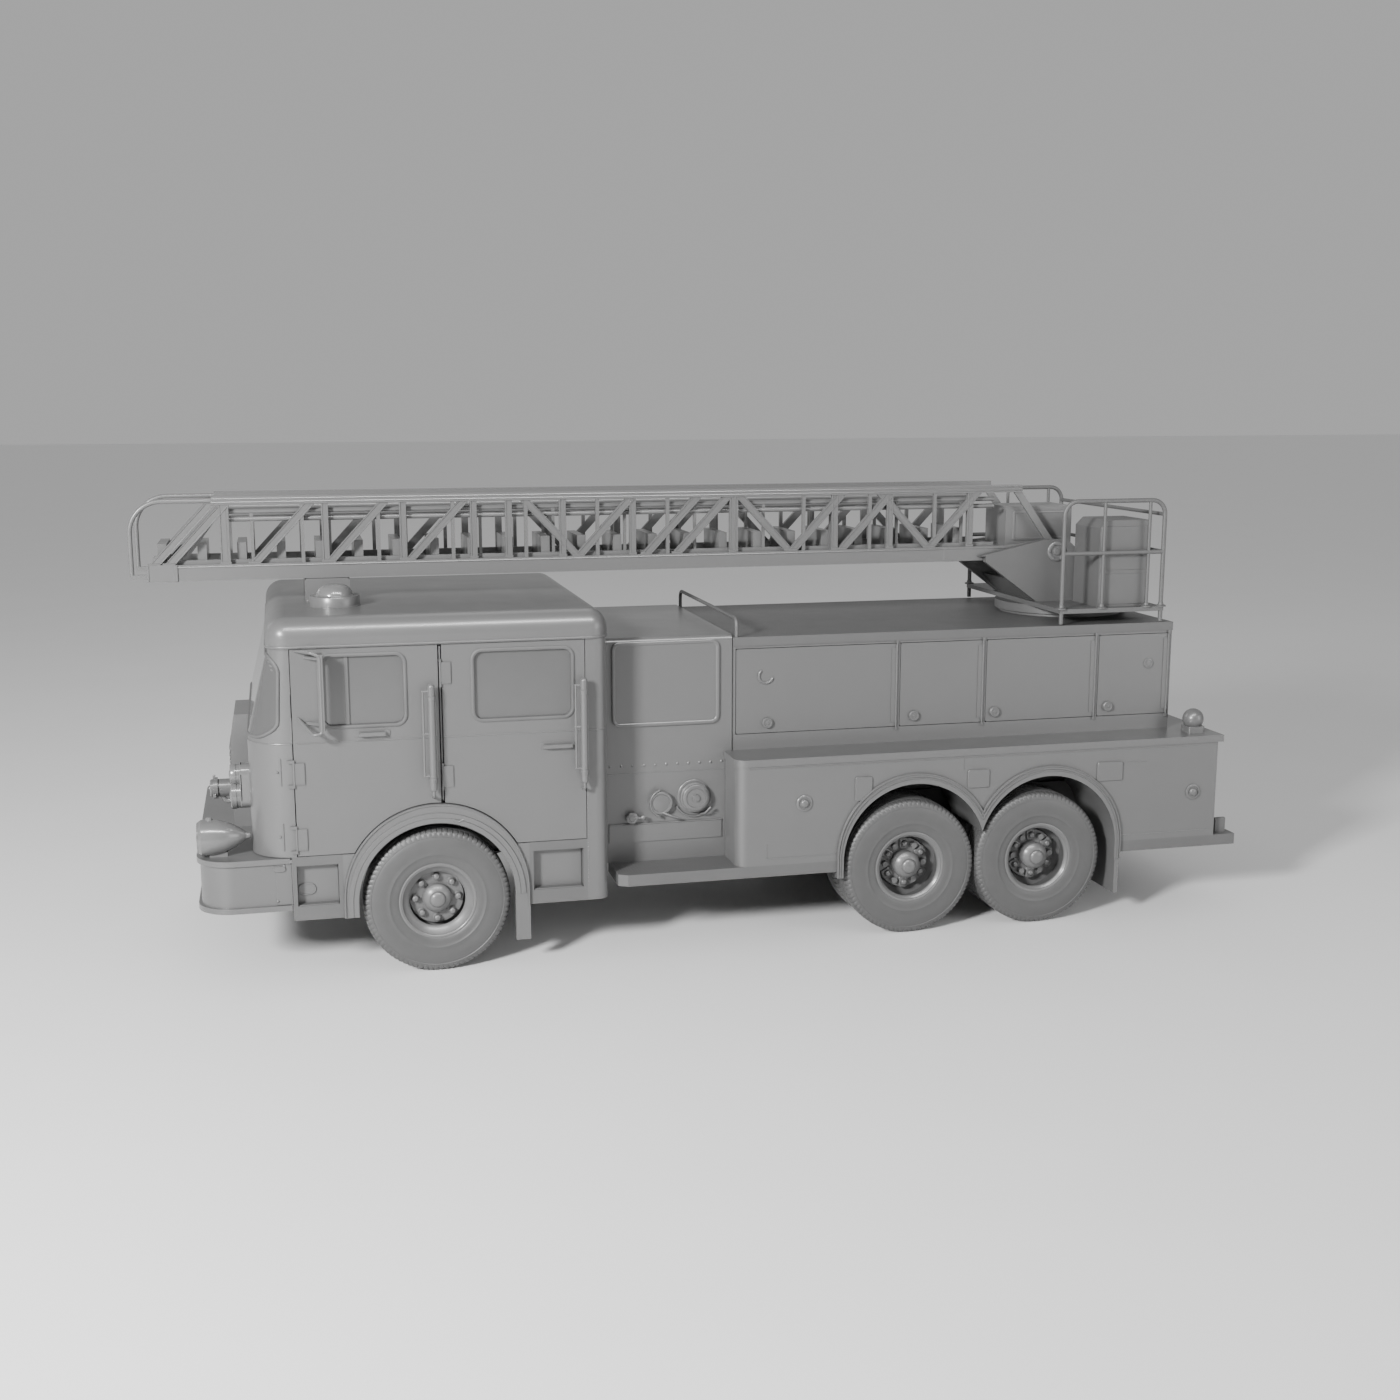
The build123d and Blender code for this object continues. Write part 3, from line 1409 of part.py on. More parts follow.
# Braces: front end ahead of the axle, and its lean (1 rises to the rear, -1 falls to the rear)
braces = (
    (1843.0, 1), (1741.0, 1), (1152.0, 1), (626.0, 1), (52.0, 1), (-794.0, -1), (-1201.0, 1),
    (-1715.0, 1), (-2450.0, -1), (-2870.0, 1), (-3270.0, 1), (-3590.0, -1), (-4000.0, 1),
)
with BuildPart() as ladder_bed:
    slab(
        (ahead(low_rail_back), ahead(collar_back)),
        (rail_in, ladder_half),
        (low_rail_bottom, low_rail_top),
    )
    slab(
        (ahead(collar_back), ahead(low_rail_front)),
        (rail_in, ladder_half + collar_grow),
        (low_rail_bottom - collar_grow, low_rail_top + collar_grow),
    )
    slab(
        (ahead(high_rail_back), ahead(high_rail_front)),
        (rail_in, ladder_half),
        (high_rail_bottom, high_rail_top),
    )
    slab(
        (ahead(low_rail_back), ahead(collar_back)),
        (rail_in - slide_ledge, rail_in),
        (slide_top - slide_thick, slide_top),
    )
    with Locations(*[(ahead(x), rail_mid, (low_rail_top + high_rail_bottom) / 2) for x in bed_post_places]):
        Box(strut, strut, high_rail_bottom - low_rail_top)
    with BuildSketch(side(rail_mid + strut / 2)):
        for start, lean in braces:
            foot = ahead(start if lean > 0 else start - brace_run)
            head = ahead(start - brace_run if lean > 0 else start)
            polygon(
                (foot - brace_wide / 2, low_rail_top),
                (foot + brace_wide / 2, low_rail_top),
                (head + brace_wide / 2, high_rail_bottom + 8.0),
                (head - brace_wide / 2, high_rail_bottom + 8.0),
            )
        polygon(
            (ahead(heel_x) - brace_wide, heel_z + heel_round / 2),
            (ahead(heel_x) + brace_wide, heel_z + heel_round / 2),
            (ahead(high_rail_back) + 2 * brace_wide, high_rail_bottom + 8.0),
            (ahead(high_rail_back), high_rail_bottom + 8.0),
        )
    extrude(amount=strut)
    with BuildLine(side(rail_mid)) as bow_path:
        FilletPolyline(
            (ahead(high_rail_front - 10.0), bow_z),
            (ahead(bow_x), bow_z),
            (ahead(bow_x), low_rail_bottom + 2 * bow_r),
            radius=bow_bend,
        )
    with BuildSketch(Plane(origin=bow_path.line @ 0, z_dir=bow_path.line % 0)):
        Circle(bow_r)
    sweep(path=bow_path.line)
    slab(
        (ahead(low_rail_front - 5.0), ahead(front_reach)),
        (rail_mid - bow_r, rail_mid + bow_r),
        (low_rail_bottom + bow_r, low_rail_bottom + 3 * bow_r),
    )
    with BuildSketch(side(ladder_half)):
        polygon(
            (ahead(low_rail_back), low_rail_bottom),
            (ahead(heel_x), heel_z - heel_round),
            (ahead(heel_x), heel_z + heel_round),
            (ahead(low_rail_back), low_rail_top),
        )
        with Locations((ahead(heel_x), heel_z)):
            Circle(heel_round)
            Circle(heel_pin_r + pin_gap, mode=Mode.SUBTRACT)
    extrude(amount=rail_width)
    mirror(about=Plane.XZ)
    with Locations(*[
        (ahead(rung_front - rung_pitch * i), 0, low_rail_bottom + 4.0 + rung_height / 2)
        for i in range(bed_rungs)
    ]):
        Box(rung_width, 2 * rail_in, rung_height)
    slab(
        (ahead(low_rail_back - 80.0), ahead(low_rail_back)),
        (-rail_in, rail_in),
        (low_rail_bottom + 20.0, low_rail_top - 10.0),
    )
    slab(
        (ahead(winch_back), ahead(low_rail_back - 60.0)),
        (-winch_half, winch_half),
        (low_rail_top - 22.0, winch_top),
    )
save(ladder_bed, "ladder_bed")

# Ladder fly: the inner section that slides out along the bed, with box rungs
fly_mid = fly_half - fly_tube_r
with BuildPart() as ladder_fly:
    slab((ahead(fly_back), ahead(fly_front)), (fly_half - fly_rail, fly_half), (fly_low_bottom, fly_low_top))
    for z in (fly_tube_low, fly_tube_high):
        bar((ahead(fly_back), fly_mid, z), (ahead(fly_tube_front), fly_mid, z), fly_tube_r)
    with Locations(*[
        (ahead(fly_post_front - fly_post_pitch * i), fly_mid, (fly_low_top + fly_tube_high) / 2)
        for i in range(fly_posts)
    ]):
        Box(strut - 4.0, strut - 4.0, fly_tube_high - fly_low_top)
    with BuildSketch(side(fly_mid + strut / 2 - 2.0)):
        polygon(
            (ahead(fly_front - 200.0) - brace_wide / 2, fly_low_top),
            (ahead(fly_front - 200.0) + brace_wide / 2, fly_low_top),
            (ahead(fly_tube_front) + brace_wide / 2, fly_tube_high),
            (ahead(fly_tube_front) - brace_wide / 2, fly_tube_high),
        )
    extrude(amount=strut - 4.0)
    mirror(about=Plane.XZ)
    fly_rung_z = fly_low_top + (fly_rung_rise - fly_rung_drop) / 2
    with Locations(*[
        (ahead(fly_front - 50.0 - fly_rung_pitch * i), 0, fly_rung_z) for i in range(fly_rungs)
    ]):
        Box(fly_rung_width, 2 * (fly_half - fly_rail), fly_rung_drop + fly_rung_rise)
save(ladder_fly, "ladder_fly")
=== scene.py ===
"""Looks, studio and camera for the fire engine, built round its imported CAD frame."""

from __future__ import annotations

import json
import logging
import math
from dataclasses import dataclass
from enum import Enum

import bmesh
import bpy
import numpy as np
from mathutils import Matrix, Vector

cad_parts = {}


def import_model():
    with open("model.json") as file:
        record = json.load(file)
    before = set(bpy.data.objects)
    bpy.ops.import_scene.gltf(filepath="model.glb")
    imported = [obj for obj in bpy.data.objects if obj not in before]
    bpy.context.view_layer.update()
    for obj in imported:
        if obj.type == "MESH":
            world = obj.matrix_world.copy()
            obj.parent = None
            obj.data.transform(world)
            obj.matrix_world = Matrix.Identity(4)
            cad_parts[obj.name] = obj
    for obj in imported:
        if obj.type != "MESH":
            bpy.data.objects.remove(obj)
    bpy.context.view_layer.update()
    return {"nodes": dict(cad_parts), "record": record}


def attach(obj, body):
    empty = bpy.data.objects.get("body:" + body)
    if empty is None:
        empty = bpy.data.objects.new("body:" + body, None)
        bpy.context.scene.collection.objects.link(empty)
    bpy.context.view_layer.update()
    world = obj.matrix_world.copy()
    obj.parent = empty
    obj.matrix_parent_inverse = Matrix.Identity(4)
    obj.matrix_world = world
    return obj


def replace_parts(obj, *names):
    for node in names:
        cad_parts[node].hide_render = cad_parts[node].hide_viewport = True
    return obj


log = logging.getLogger("fire_engine")
Profile = np.ndarray | list[tuple[float, float]]
AXLE_X = 2.1175  # front axle in the row frame
SHARP = 40.0  # degrees above which an edge stays sharp
BODY_SIDE = 1.275  # outer face of the cab and the lower body
TAIL = -6.062  # rear face of the lower body, ahead of the front axle
REAR_AXLES = ((1, -3.535), (2, -4.582))  # number, place ahead of the front axle
FINISHES: dict[Slot, bpy.types.Material] = {}
# Ways a face can look: its right and its up direction
FRONTWARD = ((0.0, 1.0, 0.0), (0.0, 0.0, 1.0))
REARWARD = ((0.0, -1.0, 0.0), (0.0, 0.0, 1.0))
UPWARD = ((1.0, 0.0, 0.0), (0.0, 1.0, 0.0))
DOWNWARD = ((1.0, 0.0, 0.0), (0.0, -1.0, 0.0))


def ahead(x: float) -> float:
    """Row X of a place x metres ahead of the front axle."""
    return x + AXLE_X


class Side(Enum):
    """The vehicle's two sides, with the sign of Y."""

    LEFT = 1
    RIGHT = -1

    @property
    def word(self) -> str:
        """Name of the side as used in node and body names."""
        return self.name.lower()


class Slot(Enum):
    """Material slots of the record."""

    PAINT = "body_paint"
    TYRE = "tyre"
    WHEEL = "wheel_steel"
    GLASS = "glazing"
    CHASSIS = "chassis_steel"
    ENGINE = "engine_iron"
    FABRIC = "seat_fabric"
    DASH = "dash_plastic"
    BRIGHT = "lamp_bright"
    LADDER = "ladder_steel"
    TREAD = "tread_metal"
    BUMPER = "bumper_paint"


class Value:
    """A shader socket that takes part in Python arithmetic by adding Math nodes."""

    def __init__(self, tree: bpy.types.NodeTree, socket: bpy.types.NodeSocket) -> None:
        """Keep the tree and the output socket."""
        self.tree = tree
        self.socket = socket

    def _math(self, operation: str, *values: "Value | float") -> "Value":
        """Add a Math node.

        Args:
            operation: Math node operation.
            values: sockets or numbers, in order.

        Returns:
            The node's result.
        """
        node = self.tree.nodes.new("ShaderNodeMath")
        node.operation = operation
        for index, value in enumerate(values):
            if isinstance(value, Value):
                self.tree.links.new(value.socket, node.inputs[index])
            else:
                node.inputs[index].default_value = value
        return Value(self.tree, node.outputs[0])

    def __add__(self, other: "Value | float") -> "Value":
        """Sum."""
        return self._math("ADD", self, other)

    __radd__ = __add__

    def __sub__(self, other: "Value | float") -> "Value":
        """Difference."""
        return self._math("SUBTRACT", self, other)

    def __rsub__(self, other: float) -> "Value":
        """Difference from a number."""
        return self._math("SUBTRACT", other, self)

    def __mul__(self, other: "Value | float") -> "Value":
        """Product."""
        return self._math("MULTIPLY", self, other)

    __rmul__ = __mul__

    def __truediv__(self, other: "Value | float") -> "Value":
        """Quotient."""
        return self._math("DIVIDE", self, other)

    def sine(self) -> "Value":
        """Sine."""
        return self._math("SINE", self)

    def clamp(self) -> "Value":
        """Limited to 0 to 1."""
        return self._math("MINIMUM", self._math("MAXIMUM", self, 0.0), 1.0)

    def above(self, edge: float, soft: float) -> "Value":
        """Smooth step from 0 to 1 over soft, centred on edge."""
        return ((self - edge) / soft + 0.5).clamp()


class Surface:
    """One material under construction."""

    def __init__(self, name: str) -> None:
        """Start a material with a principled shader."""
        self.material = bpy.data.materials.new(name)
        self.material.use_nodes = True
        self.tree = self.material.node_tree
        self.shader = self.tree.nodes["Principled BSDF"]

    def add(self, kind: str, settings: dict | None = None, **inputs: object) -> bpy.types.Node:
        """Add a node.

        Args:
            kind: node type.
            settings: properties set before the sockets.
            inputs: socket values or links, by socket name with _ for a space.

        Returns:
            The node.
        """
        node = self.tree.nodes.new(kind)
        for key, value in (settings or {}).items():
            setattr(node, key, value)
        for key, value in inputs.items():
            self.feed(node, key.replace("_", " "), value)
        return node

    def feed(self, node: bpy.types.Node, name: str, value: object) -> None:
        """Link or set one input socket."""
        socket = node.inputs[name]
        if isinstance(value, Value):
            self.tree.links.new(value.socket, socket)
        elif isinstance(value, bpy.types.NodeSocket):
            self.tree.links.new(value, socket)
        else:
            socket.default_value = value

    def place(self) -> bpy.types.NodeSocket:
        """Object coordinates in metres."""
        return self.add("ShaderNodeTexCoord").outputs["Object"]

    def axis(self, letter: str) -> Value:
        """One object coordinate."""
        return Value(self.tree, self.add("ShaderNodeSeparateXYZ", Vector=self.place()).outputs[letter])

    def noise(self, scale: float, detail: float = 2.0) -> Value:
        """Noise of 0 to 1 at a scale in cycles per metre."""
        node = self.add("ShaderNodeTexNoise", Vector=self.place(), Scale=scale, Detail=detail)
        return Value(self.tree, node.outputs["Fac"])

    def blend(self, factor: Value, first: tuple, second: tuple) -> bpy.types.NodeSocket:
        """Mix two colours by a factor."""
        node = self.add("ShaderNodeMix", {"data_type": "RGBA"})
        self.tree.links.new(factor.socket, node.inputs[0])
        node.inputs[6].default_value = first
        node.inputs[7].default_value = second
        return node.outputs[2]

    def bump(self, height: Value, distance: float) -> None:
        """Feed a bump of a height to the shader's normal."""
        node = self.add("ShaderNodeBump", Height=height, Distance=distance, Strength=1.0)
        self.tree.links.new(node.outputs["Normal"], self.shader.inputs["Normal"])

    def constants(self, **values: object) -> None:
        """Set shader inputs that are the same all over."""
        for key, value in values.items():
            self.shader.inputs[key.replace("_", " ")].default_value = value


def mm(*numbers: float) -> np.ndarray:
    """Pairs of millimetres as the rows (N, 2) of a profile in metres."""
    return np.reshape(numbers, (-1, 2)) / 1000


def grey(tone: float) -> tuple[float, float, float, float]:
    """An opaque grey."""
    return (tone, tone, tone, 1.0)


@dataclass(frozen=True)
class Paint:
    """Sprayed paint: faint orange peel, cloudy gloss and a film of dust low down."""

    name: str
    tone: float
    rough: float = 0.34
    peel: float = 0.00006
    dust: float = 0.5
    coat: float = 0.35

    def build(self) -> bpy.types.Material:
        """Make the material."""
        s = Surface(self.name)
        cloud = s.noise(3.1, 4.0)
        fine = s.noise(46.0, 3.0)
        low = 1.0 - s.axis("Z").above(0.62, 0.9)
        film = (low * (0.35 + 0.65 * fine) * self.dust).clamp()
        shade = (film * 0.6 + (cloud - 0.5) * 0.5 + 0.25).clamp()
        s.feed(s.shader, "Base Color", s.blend(shade, grey(self.tone * 1.06), grey(self.tone * 0.88)))
        s.feed(s.shader, "Roughness", self.rough + 0.1 * (cloud - 0.5) + 0.22 * film)
        s.constants(Coat_Weight=self.coat, Coat_Roughness=0.22)
        s.bump(s.noise(420.0, 1.0) + 0.35 * s.noise(1500.0, 0.0), self.peel)
        return s.material


@dataclass(frozen=True)
class Rubber:
    """Rubber: matt, slightly blotched, dusty towards the tread."""

    name: str
    tone: float

    def build(self) -> bpy.types.Material:
        """Make the material."""
        s = Surface(self.name)
        blotch = s.noise(14.0, 5.0)
        grit = s.noise(260.0, 3.0)
        shade = (0.65 * blotch + 0.35 * grit).clamp()
        s.feed(s.shader, "Base Color", s.blend(shade, grey(self.tone * 0.86), grey(self.tone * 1.14)))
        s.feed(s.shader, "Roughness", 0.36 + 0.16 * blotch)
        s.bump(grit, 0.0004)
        return s.material


@dataclass(frozen=True)
class Pane:
    """Window pane: opaque, smooth and glossy, with faint wipe marks."""

    name: str
    tone: float

    def build(self) -> bpy.types.Material:
        """Make the material."""
        s = Surface(self.name)
        smear = s.noise(9.0, 4.0)
        s.feed(s.shader, "Base Color", s.blend(smear, grey(self.tone * 0.95), grey(self.tone * 1.05)))
        s.feed(s.shader, "Roughness", 0.09 + 0.1 * smear)
        s.constants(Coat_Weight=0.6, Coat_Roughness=0.04)
        return s.material


@dataclass(frozen=True)
class Casting:
    """Cast or forged metal: grainy and matt."""

    name: str
    tone: float
    metal: float = 0.0

    def build(self) -> bpy.types.Material:
        """Make the material."""
        s = Surface(self.name)
        grain = s.noise(180.0, 5.0)
        stain = s.noise(6.0, 4.0)
        s.feed(s.shader, "Base Color", s.blend(stain, grey(self.tone * 0.8), grey(self.tone * 1.2)))
        s.feed(s.shader, "Roughness", 0.5 + 0.2 * grain)
        s.constants(Metallic=self.metal)
        s.bump(grain, 0.0008)
        return s.material


@dataclass(frozen=True)
class Weave:
    """Seat cloth: two crossed sets of threads."""

    name: str
    tone: float
    threads: float = 260.0

    def build(self) -> bpy.types.Material:
        """Make the material."""
        s = Surface(self.name)
        waves = [
            Value(s.tree, s.add(
                "ShaderNodeTexWave", {"bands_direction": way, "wave_profile": "SIN"},
                Vector=s.place(), Scale=self.threads, Distortion=0.4,
            ).outputs["Fac"])
            for way in ("Y", "Z")
        ]
        cross = waves[0] * 0.5 + waves[1] * 0.5
        s.feed(s.shader, "Base Color", s.blend(cross, grey(self.tone * 0.8), grey(self.tone * 1.15)))
        s.feed(s.shader, "Roughness", 0.8 + 0.15 * s.noise(40.0))
        s.constants(Sheen_Weight=0.25)
        s.bump(cross, 0.0006)
        return s.material


@dataclass(frozen=True)
class TreadPlate:
    """Anti-slip plate: raised lozenges on level faces, fine brushing elsewhere."""

    name: str
    tone: float
    pitch: float = 150.0

    def build(self) -> bpy.types.Material:
        """Make the material."""
        s = Surface(self.name)
        x = s.axis("X")
        y = s.axis("Y")
        up = Value(s.tree, s.add(
            "ShaderNodeSeparateXYZ", Vector=s.add("ShaderNodeNewGeometry").outputs["True Normal"]
        ).outputs["Z"])
        level = up.above(0.8, 0.1)
        a = ((x + y) * self.pitch).sine()
        b = ((x - y) * self.pitch).sine()
        lozenge = (a * b).above(0.62, 0.3) * level
        cloud = s.noise(5.0, 4.0)
        s.feed(s.shader, "Base Color", s.blend(cloud, grey(self.tone * 0.92), grey(self.tone * 1.08)))
        s.feed(s.shader, "Roughness", 0.42 + 0.12 * cloud - 0.08 * lozenge)
        s.bump(lozenge + 0.02 * s.noise(500.0), 0.0022)
        return s.material


@dataclass(frozen=True)
class Bright:
    """Polished fitting."""

    name: str
    tone: float
    rough: float = 0.2

    def build(self) -> bpy.types.Material:
        """Make the material."""
        s = Surface(self.name)
        smear = s.noise(30.0, 4.0)
        s.feed(s.shader, "Base Color", s.blend(smear, grey(self.tone * 0.95), grey(self.tone * 1.05)))
        s.feed(s.shader, "Roughness", self.rough + 0.1 * smear)
        s.constants(Coat_Weight=0.4)
        return s.material


class Shape:
    """Points and faces of one piece, gathered from grids and stacks of rings."""

    def __init__(self) -> None:
        """Start empty."""
        self.points: list[np.ndarray] = []
        self.faces: list[list[int]] = []
        self.count = 0

    def grid(self, points: np.ndarray, wrap_u: bool = False, wrap_v: bool = False,
             caps: bool = False) -> "Shape":
        """Add a grid of points (U, V, 3) as quads.

        Args:
            points: the grid.
            wrap_u: join the last row to the first.
            wrap_v: join the last column to the first.
            caps: close the first and last row with one face each.

        Returns:
            This shape.
        """
        rows, cols = points.shape[:2]
        u, v = np.meshgrid(
            np.arange(rows if wrap_u else rows - 1), np.arange(cols if wrap_v else cols - 1), indexing="ij"
        )
        u2 = (u + 1) % rows
        v2 = (v + 1) % cols
        quads = np.stack([u * cols + v, u2 * cols + v, u2 * cols + v2, u * cols + v2], -1).reshape(-1, 4)
        self.faces += (quads + self.count).tolist()
        if caps:
            first = np.arange(cols) + self.count
            self.faces += [first[::-1].tolist(), (first + (rows - 1) * cols).tolist()]
        self.points.append(points.reshape(-1, 3))
        self.count += rows * cols
        return self

    def join(self, other: "Shape") -> "Shape":
        """Add another shape's points and faces to this one."""
        self.faces += [[i + self.count for i in face] for face in other.faces]
        self.points += other.points
        self.count += other.count
        return self

    def copies(self, places: np.ndarray) -> "Shape":
        """Repeat what is here at each offset of places (K, 3).

        Args:
            places: offsets.

        Returns:
            A new shape with every copy.
        """
        made = Shape()
        base = np.concatenate(self.points)
        made.points = [(places[:, None, :] + base[None]).reshape(-1, 3)]
        made.faces = [[i + k * self.count for i in face] for k in range(len(places)) for face in self.faces]
        made.count = self.count * len(places)
        return made

    def both_sides(self) -> "Shape":
        """Add the mirror image across the middle of the vehicle."""
        base = np.concatenate(self.points)
        self.faces += [[i + self.count for i in face[::-1]] for face in self.faces]
        self.points.append(base * np.array([1.0, -1.0, 1.0]))
        self.count *= 2
        return self

    def mirrored(self, side: Side) -> "Shape":
        """This shape for the left, its mirror image for the right."""
        made = Shape()
        made.points = [np.concatenate(self.points) * np.array([1.0, float(side.value), 1.0])]
        made.faces = [face[:: side.value] for face in self.faces]
        made.count = self.count
        return made

    def piece(self, name: str, body: str, slot: Slot) -> bpy.types.Object:
        """Make the mesh object, with its normals outwards and its finish.

        Args:
            name: object name.
            body: CAD body that it moves with.
            slot: record slot of its finish.

        Returns:
            The object.
        """
        mesh = bpy.data.meshes.new(name)
        mesh.from_pydata(np.concatenate(self.points).tolist(), [], self.faces)
        work = bmesh.new()
        work.from_mesh(mesh)
        bmesh.ops.remove_doubles(work, verts=work.verts, dist=1e-6)
        bmesh.ops.recalc_face_normals(work, faces=work.faces)
        work.to_mesh(mesh)
        work.free()
        mesh.shade_smooth()
        mesh.set_sharp_from_angle(angle=math.radians(SHARP))
        obj = bpy.data.objects.new(name, mesh)
        bpy.context.scene.collection.objects.link(obj)
        obj.data.materials.append(FINISHES[slot])
        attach(obj, body)
        log.info("%s: %d faces on %s", name, len(mesh.polygons), body)
        return obj

    def fixed(self, name: str, slot: Slot) -> bpy.types.Object:
        """A piece that stays with the chassis."""
        return self.piece(name, "chassis", slot)


@dataclass(frozen=True)
class Face:
    """A flat place to build on: a middle, two directions along it and one out of it."""

    middle: tuple[float, float, float]
    right: tuple[float, float, float]
    up: tuple[float, float, float]

    @property
    def out(self) -> np.ndarray:
        """Direction away from the surface."""
        return np.cross(self.right, self.up)

    def points(self, across: np.ndarray, along: np.ndarray, out: np.ndarray) -> np.ndarray:
        """Row-frame points from distances on this face, as whole arrays."""
        return (
            np.array(self.middle)
            + across[..., None] * np.array(self.right)
            + along[..., None] * np.array(self.up)
            + out[..., None] * self.out
        )


def left_face(x: float, y: float, z: float) -> Face:
    """A face on the vehicle's left side, out along +Y."""
    return Face((ahead(x), y, z), (-1.0, 0.0, 0.0), (0.0, 0.0, 1.0))


def rounded_outline(half_w: np.ndarray, half_h: np.ndarray, corner: np.ndarray,
                    steps: int) -> tuple[np.ndarray, np.ndarray]:
    """Rounded rectangles: four corner arcs of steps points, centred half_w - corner and half_h - corner out.

    Args:
        half_w: half widths (K).
        half_h: half heights (K).
        corner: corner radii (K).
        steps: points per corner.

    Returns:
        Across and along coordinates, each (K, 4 * steps).
    """
    turn = np.concatenate([np.linspace(q, q + 1, steps) * np.pi / 2 for q in range(4)])
    sign_x = np.repeat([1, -1, -1, 1], steps)
    sign_y = np.repeat([1, 1, -1, -1], steps)
    across = sign_x * (half_w - corner)[:, None] + corner[:, None] * np.cos(turn)
    along = sign_y * (half_h - corner)[:, None] + corner[:, None] * np.sin(turn)
    return across, along


def stack(face: Face, half_w: float, half_h: float, corner: float, profile: Profile,
          steps: int = 6, ring: bool = False) -> Shape:
    """Rings of a rounded rectangle, each drawn in by the profile's first number and raised by its second.

    Args:
        face: where it sits.
        half_w: half width.
        half_h: half height.
        corner: corner radius.
        profile: (inset, height) of each ring.
        steps: points per corner.
        ring: join the last ring to the first, for a frame, instead of closing both with a face.

    Returns:
        The shape.
    """
    inset, height = np.array(profile).T
    across, along = rounded_outline(half_w - inset, half_h - inset, np.maximum(corner - inset, 1e-4), steps)
    points = face.points(across, along, np.broadcast_to(height[:, None], across.shape))
    return Shape().grid(points, wrap_u=ring, wrap_v=True, caps=not ring)


def lathe(face: Face, profile: Profile, sides: int = 32, ring: bool = False) -> Shape:
    """A profile of (radius, height) turned about the face's normal.

    Args:
        face: where it sits.
        profile: radius and height of each ring.
        sides: points round.
        ring: join the last ring to the first, for a hoop, instead of closing both with a face.

    Returns:
        The shape.
    """
    radius, height = np.array(profile).T
    turn = np.arange(sides) * 2 * np.pi / sides
    across = radius[:, None] * np.cos(turn)
    along = radius[:, None] * np.sin(turn)
    points = face.points(across, along, np.broadcast_to(height[:, None], across.shape))
    return Shape().grid(points, wrap_u=ring, wrap_v=True, caps=not ring)


def tube(path: np.ndarray, radius: float, sides: int = 12, closed: bool = False) -> Shape:
    """A circle carried along a path: at each point, radius times (cos, sin) on two directions square to it.

    Args:
        path: points (N, 3).
        radius: tube radius.
        sides: points round.
        closed: join the ends.

    Returns:
        The shape.
    """
    if closed:
        tangent = np.roll(path, -1, 0) - np.roll(path, 1, 0)
    else:
        tangent = np.gradient(path, axis=0)
    tangent /= np.linalg.norm(tangent, axis=1, keepdims=True)
    spread = np.linalg.svd(path - path.mean(0))[2][2]
    first = np.cross(tangent, spread)
    first /= np.linalg.norm(first, axis=1, keepdims=True)
    second = np.cross(tangent, first)
    turn = np.arange(sides) * 2 * np.pi / sides
    wheel = first[:, None] * np.cos(turn)[:, None] + second[:, None] * np.sin(turn)[:, None]
    points = path[:, None] + radius * wheel
    return Shape().grid(points, wrap_u=closed, wrap_v=True, caps=not closed)


def dome_head(face: Face, radius: float, rise: float, sides: int = 8) -> Shape:
    """A rivet or bolt head: a low dome of three rings."""
    rings = [(radius, 0.0), (radius, rise * 0.35), (radius * 0.75, rise * 0.8), (radius * 0.3, rise)]
    return lathe(face, rings, sides)


def rivets(start: tuple, end: tuple, count: int, radius: float, rise: float) -> Shape:
    """A row of rivets on both sides of the vehicle, from start to end on the left."""
    head = dome_head(Face((0, 0, 0), (-1, 0, 0), (0, 0, 1)), radius, rise)
    return head.copies(line(start, end, count)).both_sides()


def hex_head(face: Face, radius: float, rise: float) -> Shape:
    """A six-sided nut on a washer, with its rim turned down."""
    shape = lathe(face, [(radius * 1.35, 0.0), (radius * 1.35, rise * 0.18), (radius * 1.1, rise * 0.2)], 18)
    return shape.join(lathe(face, [(radius, rise * 0.2), (radius, rise * 0.9), (radius * 0.85, rise)], 6))


def line(start: tuple, end: tuple, count: int = 3) -> np.ndarray:
    """Evenly spaced points from start to end, x counted ahead of the front axle."""
    return np.linspace(start, end, count) + np.array([AXLE_X, 0.0, 0.0])


def bend(corners: list[tuple], reach: float, steps: int = 7) -> np.ndarray:
    """Path through corners, each inner one eased by (1-t)^2 a + 2t(1-t) p + t^2 b within reach of it.

    Args:
        corners: points of the path, x counted ahead of the front axle.
        reach: distance from a corner at which its curve starts.
        steps: points per curve.

    Returns:
        Points (N, 3).
    """
    points = np.array(corners) + np.array([AXLE_X, 0.0, 0.0])
    runs = np.diff(points, axis=0)
    runs /= np.linalg.norm(runs, axis=1, keepdims=True)
    t = np.linspace(0, 1, steps)[:, None]
    parts = [points[:1]]
    for index in range(1, len(points) - 1):
        start = points[index] - reach * runs[index - 1]
        end = points[index] + reach * runs[index]
        parts.append((1 - t) ** 2 * start + 2 * t * (1 - t) * points[index] + t**2 * end)
    return np.concatenate(parts + [points[-1:]])


def bead(start: tuple[float, float], end: tuple[float, float], y: float, radius: float) -> Shape:
    """A thin straight rod on a left-hand face at y, between two places (x, z)."""
    return tube(line((start[0], y, start[1]), (end[0], y, end[1])), radius, 8)


def ring_path(middle: tuple, radius: float, start: float, end: float, steps: int = 24) -> np.ndarray:
    """Arc on a left-hand face: middle + radius (-cos a, 0, sin a) for a from start to end in degrees."""
    a = np.radians(np.linspace(start, end, steps))
    away = np.stack([-np.cos(a), np.zeros_like(a), np.sin(a)], -1)
    return np.array([ahead(middle[0]), *middle[1:]]) + radius * away


